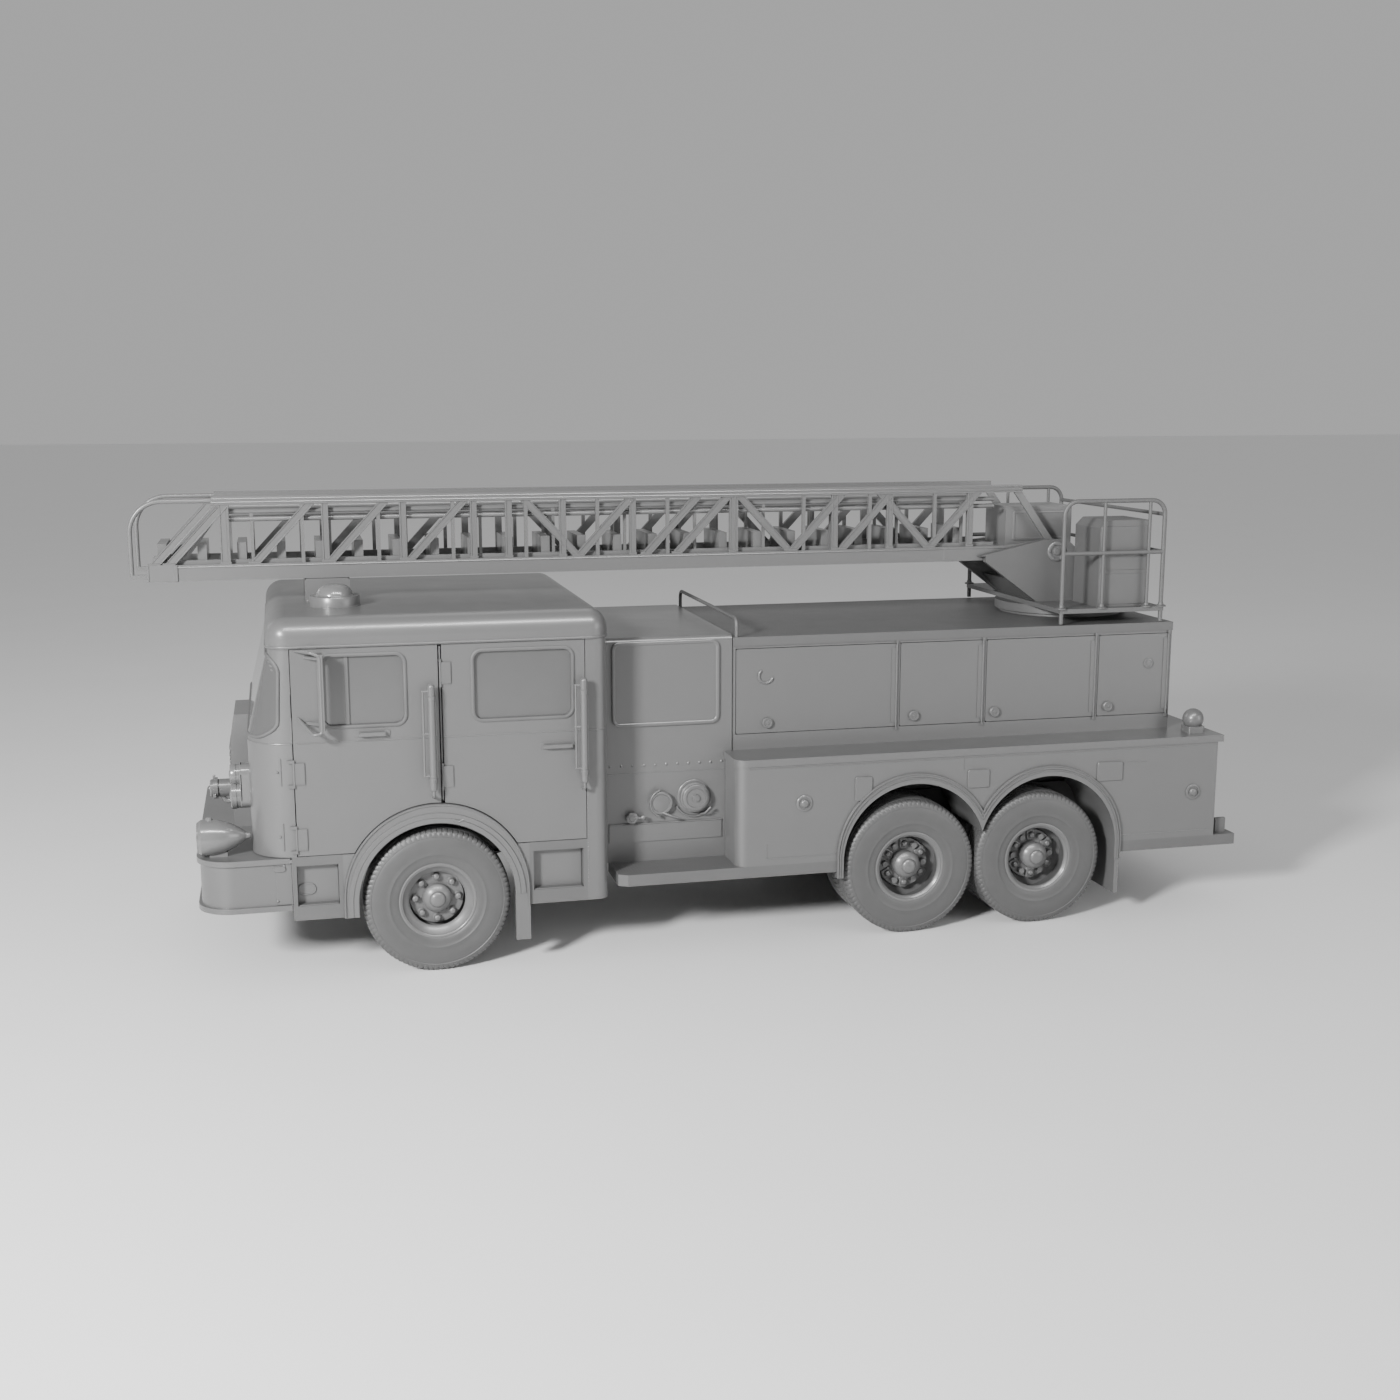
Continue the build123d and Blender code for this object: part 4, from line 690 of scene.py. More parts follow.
def band(path: np.ndarray, normal: np.ndarray, profile: Profile) -> Shape:
    """A closed section carried along a path on the left side: first number along normal, second out along Y.

    Args:
        path: points (N, 3).
        normal: directions (N, 3) in the side's plane.
        profile: the section.

    Returns:
        The shape.
    """
    sideways, out = np.array(profile).T
    points = path[:, None] + sideways[:, None] * normal[:, None] + out[:, None] * np.array([0.0, 1.0, 0.0])
    return Shape().grid(points, wrap_v=True, caps=True)


def facing(way: tuple, x: float, y: float, z: float) -> Face:
    """A face that looks one of the named ways, x metres ahead of the front axle."""
    return Face((ahead(x), y, z), *way)


def plate(face: Face, half_w: float, half_h: float, corner: float, thick: float) -> Shape:
    """A flat plate with its outer edge eased by 3 mm."""
    return stack(face, half_w, half_h, corner, [(0.0, -0.002), (0.0, thick - 0.003), (0.003, thick)], steps=5)


@dataclass
class Tyres:
    """Road tyres with ribbed walls, grooved tread and blocks along both shoulders."""

    radius: float = 0.518
    pitches: int = 84
    depth: float = 0.005
    front_middle: float = 1.130
    dual_pitch: float = 0.300

    def half_section(self) -> np.ndarray:
        """Half of the section from the middle of the tread to the bead, as (across, radius)."""
        across, drop = mm(
            0, 0, 16, 0, 18, 10, 26, 10, 28, 0, 52, 0.4, 54, 10, 62, 10, 64, 0.8, 82, 2, 98, 4.5,
            108, 10, 115, 18, 120, 30, 124, 43, 126.5, 52, 124.5, 55, 127.5, 63, 131, 80, 134.2, 105,
            134.8, 125, 134, 148, 132.5, 172, 133.5, 175, 133, 182, 131.2, 184, 129, 205, 125.5, 224,
            121.5, 238, 117, 245.5, 100, 245.5).T
        return np.stack([across, self.radius - drop], -1)

    def surface(self, x: float, middle: float) -> np.ndarray:
        """Grid of one tyre: the section turned about the axle, sunk along its normal between blocks.

        Args:
            x: axle's place in the row frame.
            middle: tyre's middle across the vehicle.

        Returns:
            Points (turn, section, 3).
        """
        half = self.half_section()
        section = np.concatenate([half[::-1] * np.array([-1.0, 1.0]), half[1:]])
        along = np.gradient(section, axis=0)
        normal = np.stack([-along[:, 1], along[:, 0]], -1)
        normal /= np.linalg.norm(normal, axis=1, keepdims=True) + 1e-9
        across = np.abs(section[:, 0])
        shoulder = np.clip((across - 0.072) / 0.012, 0, 1)
        shoulder *= np.clip((section[:, 1] - self.radius + 0.034) / 0.012, 0, 1)
        share = np.array([0.0, 0.06, 0.32, 0.38, 0.69])
        turn = ((np.arange(self.pitches)[:, None] + share) / self.pitches * 2 * np.pi).ravel()
        gap = np.tile(np.array([0.0, 1.0, 1.0, 0.0, 0.0]), self.pitches)
        sunk = section[None] - (self.depth * gap[:, None] * shoulder[None])[..., None] * normal[None]
        return np.stack([
            x + sunk[..., 1] * np.cos(turn)[:, None],
            middle + sunk[..., 0],
            self.radius + sunk[..., 1] * np.sin(turn)[:, None],
        ], -1)

    def build(self) -> None:
        """Make every tyre and let it stand for its CAD node."""
        for side in Side:
            grid = self.surface(ahead(0.0), side.value * self.front_middle)
            piece = Shape().grid(grid, wrap_u=True, wrap_v=True).piece(
                f"front_tyre_tread_{side.word}", f"front_wheel_body_{side.word}", Slot.TYRE)
            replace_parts(piece, f"front_tyre_{side.word}")
            for number, x in REAR_AXLES:
                twin = Shape()
                for middle in (self.front_middle, self.front_middle - self.dual_pitch):
                    twin.grid(self.surface(ahead(x), side.value * middle), wrap_u=True, wrap_v=True)
                word = f"{number}_{side.word}"
                piece = twin.piece(f"rear_tyre_tread_{word}", f"rear_wheel_body_{word}", Slot.TYRE)
                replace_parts(piece, f"rear_tyres_{word}")


@dataclass
class Wheels:
    """Domed nuts, hub rings and rim lips of the wheels, and the clamp lugs of the rear ones."""

    hub_z: float = 0.518
    nut_circle: float = 0.152
    front_face: float = 1.135
    rear_face: float = 1.100
    rim_edge: float = 1.245

    def around(self, x: float, y: float, count: int) -> list[Face]:
        """Faces spread evenly on the nut circle, each with its up direction away from the hub."""
        faces = []
        for a in np.arange(count) * 2 * np.pi / count + np.pi / 2:
            away = np.array([-np.cos(a), 0.0, np.sin(a)])
            right = np.array([-np.sin(a), 0.0, -np.cos(a)])
            middle = np.array([ahead(x), y, self.hub_z]) + self.nut_circle * away
            faces.append(Face(tuple(middle), tuple(right), tuple(away)))
        return faces

    def nut(self, face: Face) -> Shape:
        """A wheel nut: washer, barrel and dome."""
        return lathe(face, mm(31, 0, 31, 5, 26, 7, 24.5, 30, 21, 38, 13, 43, 3, 44), 16)

    def lug(self, face: Face) -> Shape:
        """A rear clamp lug: a thick rounded block under its nut."""
        return stack(face, 0.036, 0.046, 0.020, mm(0, -4, 0, 10, 4, 15, 10, 17), steps=5)

    def dress(self, x: float, face: float, hub_end: float, nuts: int, lugs: bool) -> Shape:
        """What is added to one left wheel: nuts, hub ring and cap, rim lip, and a dish if it has no lugs."""
        whole = Shape()
        for place in self.around(x, face, nuts):
            if lugs:
                whole.join(self.lug(place))
            whole.join(self.nut(place))
        hub = left_face(x, hub_end, self.hub_z)
        whole.join(lathe(hub, mm(101, -30, 104.5, -26, 104.5, -12, 101, -4), 40))
        whole.join(lathe(hub, mm(58, 12, 58, 36, 53, 44, 40, 53, 20, 59, 3, 60), 32))
        edge = left_face(x, self.rim_edge, self.hub_z)
        lip = mm(249, -28, 274, -6, 273, 3, 266, 6, 258, 4, 251, -4)
        if lugs:
            rim = mm(241, -12, 233, -18, 229, -28, 233, -34)
        else:
            rim = mm(236, -20, 216, -36, 203, -45, 197, -54, 200, -60, 222, -50)
        return whole.join(lathe(edge, np.concatenate([lip, rim]), 72, ring=True))

    def build(self) -> None:
        """Make the pieces of all six wheels."""
        for side in Side:
            front = self.dress(0.0, self.front_face, 1.185, 8, False)
            front.mirrored(side).piece(
                f"front_wheel_nuts_{side.word}", f"front_wheel_body_{side.word}", Slot.WHEEL)
            for number, x in REAR_AXLES:
                rear = self.dress(x, self.rear_face, 1.195, 6, True)
                word = f"{number}_{side.word}"
                rear.mirrored(side).piece(f"rear_wheel_nuts_{word}", f"rear_wheel_body_{word}", Slot.WHEEL)


@dataclass
class Arches:
    """Raised bands and ridges on the wheel arches."""

    face: float = BODY_SIDE + 0.015
    opening: float = 0.649  # radius of the front arch's opening
    opening_z: float = 0.582  # height of its middle
    box_end: float = 0.652  # from the axle to the near end of each step box

    def path(self, x: float, top: float, radius: float, ends: tuple[float, float],
             legs: tuple[float, float]) -> tuple[np.ndarray, np.ndarray]:
        """Arch line with its outward directions: an arc of (cos a, sin a) between ends, on straight legs.

        Args:
            x: middle of the arch.
            top: height of its crown.
            radius: arc radius.
            ends: first and last angle in degrees, 0 at the front.
            legs: bottom heights of the front and rear leg; a leg not below the arc's end is left out.

        Returns:
            Points and directions, each (N, 3).
        """
        a = np.radians(np.linspace(ends[0], ends[1], 49))
        away = np.stack([np.cos(a), np.zeros_like(a), np.sin(a)], -1)
        points = np.array([ahead(x), self.face, top - radius]) + radius * away
        for end, leg in ((0, legs[0]), (-1, legs[1])):
            if leg < points[end, 2] - 0.01:
                foot = points[end] * np.array([1.0, 1.0, 0.0]) + np.array([0.0, 0.0, leg])
                order = (slice(None), slice(None, None, -1))[end == -1]
                points = np.concatenate([foot[None], points][order])
                away = np.concatenate([away[end][None], away][order])
        return points, away

    def sill_end(self, way: int) -> Shape:
        """Fill between the front arch and a step box: from x = sqrt(r^2 - (z - c)^2) of the arch to the box.

        Args:
            way: 1 ahead of the wheel, -1 behind it.

        Returns:
            The shape.
        """
        z = np.linspace(0.640, 0.905, 14)
        arch = np.sqrt(self.opening**2 - (z - self.opening_z) ** 2)
        box = np.full_like(z, self.box_end)
        corners = ((arch, 1.190), (box, 1.190), (box, 1.2735), (arch, 1.2735))
        columns = [np.stack([ahead(0.0) + way * x, np.full_like(z, y), z], -1) for x, y in corners]
        return Shape().grid(np.stack(columns, 1), wrap_v=True, caps=True)

    def build(self) -> None:
        """Make the bands on both sides."""
        flat = mm(-36, -3, -36, 8, -33, 11, -4, 11, 0, 7, 4, 11, 33, 11, 36, 8, 36, -3)
        ridge = mm(-7, -2, -6, 6, -3, 10, 3, 10, 6, 6, 7, -2)
        lip = band(*self.path(0.0, 1.130, 0.583, (0, 180), (0.455, 0.575)), flat)
        lip.both_sides().fixed("front_arch_band", Slot.PAINT)
        rib = band(*self.path(0.0, 1.222, 0.640, (0, 180), (0.455, 0.455)), ridge)
        rib.both_sides().fixed("front_arch_ridge", Slot.PAINT)
        for name, radius, top in (("ridge", 0.592, 1.216), ("edge", 0.608, 1.246)):
            meet = math.degrees(math.acos(0.540 / radius))
            first = band(*self.path(-3.560, top, radius, (0, 180 - meet), (0.484, 9.0)), ridge)
            second = band(*self.path(-4.640, top, radius, (meet, 180), (9.0, 0.484)), ridge)
            first.join(second).both_sides().fixed(f"rear_arch_{name}", Slot.PAINT)
        hook = tube(bend([(-0.112, 1.298, 1.122), (-0.147, 1.306, 1.090), (-0.188, 1.298, 1.110)],
                         0.018), 0.006, 8)
        hook.both_sides().fixed("arch_hook", Slot.PAINT)
        sills = self.sill_end(1).join(self.sill_end(-1))
        sills.both_sides().fixed("sill_ends", Slot.PAINT)


@dataclass
class CabDress:
    """Rubbers, seams, hinge bars, grab tube ends, mirror glass, steps and roof fittings of the cab."""

    window_low: float = 1.810
    window_high: float = 2.290
    window_round: float = 0.060
    belt: float = 1.700
    face: float = BODY_SIDE
    nose_front: float = 1.250
    nose_round: float = 0.290
    nose_rise: float = 0.652
    nose_draw: float = 0.165
    screen_z: float = 2.0235
    screen_half: float = 1.258
    screen_rise: float = 0.2785
    screen_round: float = 0.105
    step_wells: tuple = ((0.8185, 0.138), (-0.8575, 0.176))  # middle, half length

    def window_rubber(self, back: float, front: float) -> Shape:
        """Raised rubber round a window: a closed rounded profile carried round the opening."""
        face = left_face((back + front) / 2, self.face, (self.window_low + self.window_high) / 2)
        profile = mm(-20, 0, -20, 5, -14, 10, -4, 11, 3, 8, 6, 0, 6, -19, -4, -19)
        half_w = (front - back) / 2
        half_h = (self.window_high - self.window_low) / 2
        return stack(face, half_w, half_h, self.window_round, profile, steps=9, ring=True)

    def nose(self, y: np.ndarray, z: np.ndarray) -> np.ndarray:
        """X of the cab's front: x = f - r + sqrt(r^2 - d^2), with front f and corner r set by the height.

        Args:
            y: places across.
            z: heights.

        Returns:
            Row X of the outer face.
        """
        t = np.clip((z - self.belt) / self.nose_rise, 0, 1)
        front = self.nose_front - self.nose_draw * t
        corner = self.nose_round - self.nose_draw * t
        d = np.clip(np.abs(y) - (self.face - corner), 0, corner)
        return ahead(front - corner + np.sqrt(corner**2 - d**2))

    def screen_outline(self, grow: float) -> tuple[np.ndarray, np.ndarray]:
        """Outline of the windscreen, wrapped round the nose's corners."""
        sizes = np.array([[self.screen_half], [self.screen_rise], [self.screen_round]]) + grow
        across, along = rounded_outline(*sizes, 14)
        return self.spread(across[0], self.screen_z + along[0])

    def screen_rubber(self, grow: float, radius: float) -> Shape:
        """Tube round the windscreen on the raked nose."""
        y, z = self.screen_outline(grow)
        return tube(np.stack([self.nose(y, z), y, z], -1), radius, 10, closed=True)

    def screen_pane(self) -> Shape:
        """The pane: rings drawn from the outline to the middle, lifted by h along the nose's own normal.

        Returns:
            A closed skin from 4 mm inside the nose to 5 mm outside it.
        """
        y, z = self.screen_outline(0.0)
        share = np.linspace(1.0, 0.02, 26)[:, None]
        y = share * y
        z = self.screen_z + share * (z - self.screen_z)
        step = 0.0005
        tilt = np.stack([
            np.ones_like(y),
            -(self.nose(y + step, z) - self.nose(y - step, z)) / (2 * step),
            -(self.nose(y, z + step) - self.nose(y, z - step)) / (2 * step),
        ], -1)
        tilt /= np.linalg.norm(tilt, axis=-1, keepdims=True)
        skin = np.stack([self.nose(y, z), y, z], -1)
        layers = np.concatenate([(skin - 0.004 * tilt)[::-1], skin + 0.005 * tilt])
        return Shape().grid(layers, wrap_v=True, caps=True)

    def mirror_arm(self) -> Shape:
        """Bent tube that carries the mirror and runs down its outer edge."""
        path = bend([(0.905, 1.272, 2.336), (0.812, 1.432, 2.345), (0.752, 1.432, 2.318),
                     (0.752, 1.432, 1.796), (0.806, 1.432, 1.782), (0.905, 1.272, 1.872)], 0.022)
        return tube(path, 0.0115, 12)

    @staticmethod
    def spread(y: np.ndarray, z: np.ndarray) -> tuple[np.ndarray, np.ndarray]:
        """A closed outline with 200 points at even distances."""
        loop = np.stack([np.append(y, y[0]), np.append(z, z[0])], -1)
        far = np.concatenate([[0], np.cumsum(np.linalg.norm(np.diff(loop, axis=0), axis=1))])
        at = np.linspace(0, far[-1], 201)[:-1]
        return np.interp(at, far, loop[:, 0]), np.interp(at, far, loop[:, 1])

    def belt_seam(self) -> Shape:
        """Bead round the nose and the rear corners at the belt."""
        a = np.radians(np.linspace(0, 90, 12))
        whole = Shape()
        for start, middle, radius, end, inner in ((0.956, 0.960, self.nose_round, self.nose_front, 0.0),
                                                  (-1.070, -1.138, -0.090, -1.228, 1.0)):
            corner = np.full((12, 3), self.belt)
            corner[:, 0] = ahead(middle) + radius * np.sin(a)
            corner[:, 1] = self.face + abs(radius) * (np.cos(a) - 1)
            ends = np.array([[ahead(start), self.face, self.belt], [ahead(end), inner, self.belt]])
            path = np.concatenate([ends[:1], corner, ends[1:]])
            whole.join(tube(path, 0.005, 8))
        return whole.both_sides()

    def drip_rail(self) -> Shape:
        """Bead round the roof's lower edge."""
        across, along = rounded_outline(*np.array([[1.1735], [1.292], [0.142]]), 10)
        x, y = self.spread(across[0], along[0])
        return tube(np.stack([ahead(-0.0715) + x, y, np.full_like(x, 2.364)], -1), 0.008, 8, closed=True)

    def grab_ends(self, x: float) -> Shape:
        """Domes on a grab tube's ends, its collars and the stay below it."""
        cap = mm(25, -4, 25, 0, 23.5, 8, 18, 16, 9, 21, 2, 22.5)
        collar = mm(24.5, 0, 29, 3, 29, 27, 24.5, 30)
        whole = lathe(facing(UPWARD, x, 1.350, 2.066), cap, 20)
        whole.join(lathe(facing(DOWNWARD, x, 1.350, 1.352), cap, 20))
        for z in (1.404, 1.975):
            whole.join(lathe(facing(UPWARD, x, 1.350, z), collar, 20))
        stay = bend([(x, 1.350, 1.345), (x, 1.350, 1.290), (x, 1.272, 1.278)], 0.025)
        return whole.join(tube(stay, 0.011, 10))

    def door_pieces(self, side: Side) -> None:
        """What turns with the doors of one side."""
        doors = (("front", 0.190, 0.738, 0.930, -0.030, 0.4165, 1.749, 0.015),
                 ("rear", -0.971, -0.284, -0.075, -1.055, -0.8625, 1.600, -1.042))
        for door, back, front, bead_from, bead_to, handle_x, handle_z, grab_x in doors:
            body = f"{door}_door_body_{side.word}"
            rubber = self.window_rubber(back, front).mirrored(side)
            rubber.piece(f"{door}_window_rubber_{side.word}", body, Slot.DASH)
            trim = bead((bead_from, self.belt), (bead_to, self.belt), self.face, 0.005)
            trim.join(plate(left_face(handle_x, self.face, handle_z), 0.125, 0.026, 0.020, 0.005))
            trim.join(self.grab_ends(grab_x))
            trim.mirrored(side).piece(f"{door}_door_trim_{side.word}", body, Slot.PAINT)
        front = f"front_door_body_{side.word}"
        divider = stack(left_face(0.575, 1.250, 2.050), 0.014, 0.236, 0.006,
                        mm(0, 0, 0, 14, 4, 18), steps=4)
        divider.mirrored(side).piece(f"window_divider_{side.word}", front, Slot.DASH)
        glass = plate(facing(REARWARD, 0.734, 1.3925, 2.065), 0.042, 0.255, 0.012, 0.004)
        glass.mirrored(side).piece(f"mirror_glass_{side.word}", front, Slot.BRIGHT)
        self.mirror_arm().mirrored(side).piece(f"mirror_arm_{side.word}", front, Slot.PAINT)

    def hinge_bars(self) -> Shape:
        """Slim upright bars with a ball each, on the nose's corners ahead of the doors."""
        whole = Shape()
        r = self.nose_round
        y, ball_y = (self.face - r + math.sqrt(r**2 - d**2) for d in (0.076, 0.098))
        for low, high in ((1.410, 1.601), (0.955, 1.149)):
            whole.join(tube(line((1.036, y, low), (1.036, y, high), 4), 0.007, 10))
            whole.join(dome_head(left_face(1.058, ball_y - 0.002, (low + high) / 2), 0.010, 0.012, 12))
        return whole.both_sides()

    def build(self) -> None:
        """Make the cab's pieces."""
        for side in Side:
            self.door_pieces(side)
        self.screen_rubber(0.004, 0.014).fixed("windscreen_rubber", Slot.DASH)
        self.screen_pane().fixed("windscreen_pane", Slot.GLASS)
        seal = stack(left_face(-0.055, 1.209, 1.790), 0.0065, 0.545, 0.002,
                     mm(0, 0, 0, 53, 2, 56), steps=3)
        seal.both_sides().fixed("door_seals", Slot.PAINT)
        self.belt_seam().fixed("belt_seam", Slot.PAINT)
        self.drip_rail().fixed("drip_rail", Slot.PAINT)
        self.hinge_bars().fixed("hinge_bars", Slot.PAINT)
        row = rivets((-1.075, self.face, 1.222), (-1.075, self.face, 0.560), 24, 0.0055, 0.003)
        row.fixed("post_rivets", Slot.PAINT)
        backs = Shape()
        treads = Shape()
        for x, half in self.step_wells:
            backs.join(plate(left_face(x, 1.200, 0.6985), half + 0.0015, 0.1425, 0.004, 0.006))
            treads.join(plate(facing(UPWARD, x, 1.178, 0.555), half, 0.090, 0.010, 0.006))
        backs.both_sides().fixed("step_backs", Slot.PAINT)
        oval = stack(left_face(0.8945, 1.206, 0.6585), 0.064, 0.043, 0.043,
                     mm(0, -2, 0, 6, 4, 10, 10, 10, 13, 4, 40, 4), steps=10)
        oval.both_sides().fixed("step_lamp", Slot.PAINT)
        treads.both_sides().fixed("step_treads", Slot.TREAD)
        pads = plate(facing(UPWARD, 0.650, 0.300, 2.713), 0.150, 0.026, 0.006, 0.006)
        pads.both_sides().fixed("cradle_pads", Slot.DASH)
        base = facing(UPWARD, 0.612, 0.600, 2.556)
        drum = lathe(base, mm(
            130, 0, 182, 0, 182, 4, 178, 7, 178, 66, 174, 72, 140, 73, 137, 78, 133, 79), 64, ring=True)
        drum.fixed("beacon_drum", Slot.PAINT)


@dataclass
class Seats:
    """Crowned cushions and backs of the four seats, with piping, in place of their plain solids."""

    middle: float = 0.640
    half: float = 0.260
    base: float = 1.2803

    def pad(self, face: Face, half_w: float, half_h: float, thick: float) -> Shape:
        """A pad on a face: full at its sides, drawn in at its foot and crowned on top, with piping.

        Args:
            face: where it rests.
            half_w: half width.
            half_h: half height.
            thick: its thickness at the middle.

        Returns:
            The shape.
        """
        shares = np.array([  # inset, share of the thickness
            (0.012, 0.0), (0.002, 0.14), (0.0, 0.40), (0.004, 0.66), (0.014, 0.81), (0.034, 0.90),
            (0.070, 0.955), (0.120, 0.988), (0.175, 1.0)])
        whole = stack(face, half_w, half_h, 0.055, shares * np.array([1.0, thick]), steps=8)
        across, along = rounded_outline(*np.array([[half_w], [half_h], [0.055]]) - 0.006, 8)
        rim = face.points(across[0], along[0], np.full_like(across[0], 0.74 * thick))
        return whole.join(tube(rim, 0.006, 8, closed=True))

    def build(self) -> None:
        """Make all four seats as one piece and let it stand for its CAD node."""
        whole = Shape()
        for way, back, middle, half in ((FRONTWARD, 0.060, 0.355, 0.205), (REARWARD, -0.170, -0.450, 0.190)):
            whole.join(self.pad(facing(UPWARD, middle, self.middle, self.base), half, self.half, 0.160))
            whole.join(self.pad(facing(way, back, self.middle, self.base + 0.455), self.half, 0.305, 0.090))
        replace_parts(whole.both_sides().fixed("seat_cushions", Slot.FABRIC), "seats")


@dataclass
class FrontDress:
    """Lamp lenses, siren mouth, inlet cap, grille bars and bumper end plates."""

    def lens(self, y: float, z: float, size: float) -> Shape:
        """A headlamp's drum, ring and ribbed lens, its radii scaled by size."""
        profile = mm(
            70, -100, 76, -96, 76, -30, 80, -28, 80, 4, 74, 11, 64, 11, 61, 4, 54, 9, 50, 8, 40, 14,
            36, 13, 22, 18, 4, 20) * np.array([size, 1.0])
        return lathe(facing(FRONTWARD, 1.371, y, z), profile, 40)

    def build(self) -> None:
        """Make the front's pieces."""
        lamps = Shape()
        for z, size in ((1.270, 1.22), (1.420, 0.90)):
            lamps.join(self.lens(0.850, z, size))
        lamps.both_sides().fixed("headlamp_lenses", Slot.BRIGHT)
        bezel = stack(facing(FRONTWARD, 1.310, 0.850, 1.340), 0.095, 0.154, 0.060,
                      mm(0, -6, 0, 2, 4, 6, 12, 6, 16, 0, 16, -6), steps=9, ring=True)
        bezel.both_sides().fixed("headlamp_bezels", Slot.BRIGHT)
        mouth = lathe(facing(FRONTWARD, 1.605, 1.075, 1.033), mm(
            109, -2, 109, 4, 104, 9, 94, 9, 90, 2, 74, 2, 70, 8, 58, 8, 54, 2, 34, 2, 30, 10, 12, 16,
            2, 17), 40)
        mouth.join(lathe(facing(UPWARD, 1.530, 1.075, 1.157), mm(24, -4, 24, 10, 17, 18, 3, 20), 20))
        mouth.fixed("siren_mouth", Slot.BRIGHT)
        cap = lathe(facing(FRONTWARD, 1.546, 0.0, 1.134), mm(
            64, -4, 64, 5, 57, 12, 41, 13, 37, 7, 15, 7, 12, 20, 3, 22), 32)
        for a in np.radians([90, 210, 330]):
            lug = facing(FRONTWARD, 1.518, 0.084 * math.cos(a), 1.134 + 0.084 * math.sin(a))
            cap.join(plate(lug, 0.014, 0.014, 0.005, 0.018))
        cap.join(tube(bend([(1.380, 0.0, 1.030), (1.450, 0.0, 1.030), (1.475, 0.0, 1.075)], 0.02), 0.019, 14))
        cap.fixed("inlet_cap", Slot.BRIGHT)
        bars = plate(facing(FRONTWARD, 1.388, 0.0, 1.240), 0.235, 0.011, 0.008, 0.012)
        grille = bars.copies(np.stack([np.zeros(6), np.zeros(6), np.linspace(0.0, 0.235, 6)], -1))
        grille.fixed("grille_bars", Slot.PAINT)
        ends = plate(left_face(1.046, 1.253, 0.7155), 0.055, 0.147, 0.004, 0.005)
        ends.join(plate(left_face(1.072, 1.256, 0.826), 0.040, 0.020, 0.018, 0.012))
        for x, z in ((1.040, 0.846), (1.093, 0.598)):
            ends.join(dome_head(left_face(x, 1.258, z), 0.010, 0.007, 12))
        ends.both_sides().fixed("bumper_end_plates", Slot.BUMPER)
        blank = plate(facing(FRONTWARD, 1.605, 0.0, 0.715), 0.260, 0.057, 0.010, 0.008)
        blank.fixed("front_blank_plate", Slot.BUMPER)


@dataclass
class PumpDress:
    """Panel border, rivets, inlet collars and levers of the pump house."""

    face: float = 0.920
    proud: float = 0.932

    def fittings(self) -> Shape:
        """Suction collar and cap, the round cover, the valve and their levers."""
        collar = mm(104, 0, 112, 4, 112, 20, 104, 24)
        whole = lathe(left_face(-1.938, 0.945, 1.085), collar, 48, ring=True)
        whole.join(lathe(left_face(-1.938, 0.980, 1.085), mm(
            99, -4, 99, 6, 91, 11, 74, 11, 70, 4, 30, 4, 27, 16, 6, 19), 40))
        whole.join(tube(ring_path((-1.938, 0.932, 1.085), 0.150, 205, 320), 0.008, 10))
        whole.join(tube(bend([(-1.985, 0.934, 0.950), (-2.010, 0.975, 0.962), (-2.052, 0.985, 1.012)], 0.02),
                        0.009, 10))
        whole.join(lathe(left_face(-1.679, 0.960, 1.055), mm(
            89, -6, 89, 4, 82, 10, 70, 10, 64, 3, 40, 8, 6, 12), 36))
        whole.join(tube(ring_path((-1.700, 0.968, 1.056), 0.104, 108, 252), 0.008, 10))
        whole.join(tube(bend([(-1.690, 0.965, 0.985), (-1.735, 0.990, 0.965), (-1.800, 0.990, 0.945)], 0.02),
                        0.009, 10))
        whole.join(lathe(left_face(-1.459, 0.965, 0.954), mm(
            39, -6, 43, 0, 43, 6, 36, 10, 24, 10, 20, 4, 4, 4), 28))
        whole.join(tube(line((-1.475, 0.968, 0.955), (-1.535, 0.975, 0.957), 4), 0.007, 10))
        whole.join(lathe(left_face(-1.541, 0.962, 0.957), mm(15, 0, 18, 6, 18, 18, 12, 24, 2, 26), 16))
        return whole

    def build(self) -> None:
        """Make the pump house's pieces on both sides."""
        border = stack(left_face(-1.7245, self.proud, 1.9485), 0.4035, 0.3135, 0.060,
                       mm(0, -4, 0, 6, 6, 10, 18, 10, 26, 4, 26, -4), steps=8, ring=True)
        border.both_sides().fixed("pump_panel_border", Slot.PAINT)
        row = rivets((-1.305, self.face, 1.340), (-2.150, self.face, 1.340), 11, 0.011, 0.006)
        row.fixed("pump_rivets", Slot.PAINT)
        seam = bead((-1.255, 1.283), (-2.170, 1.283), self.face, 0.004)
        seam.join(bead((-1.292, 0.900), (-2.147, 0.900), self.proud, 0.006))
        seam.both_sides().fixed("pump_seams", Slot.PAINT)
        flange = lathe(left_face(-1.938, self.face, 1.085), mm(128, -2, 128, 6, 123, 10, 104, 10), 40)
        flange.join(self.fittings()).both_sides().fixed("pump_fittings", Slot.PAINT)


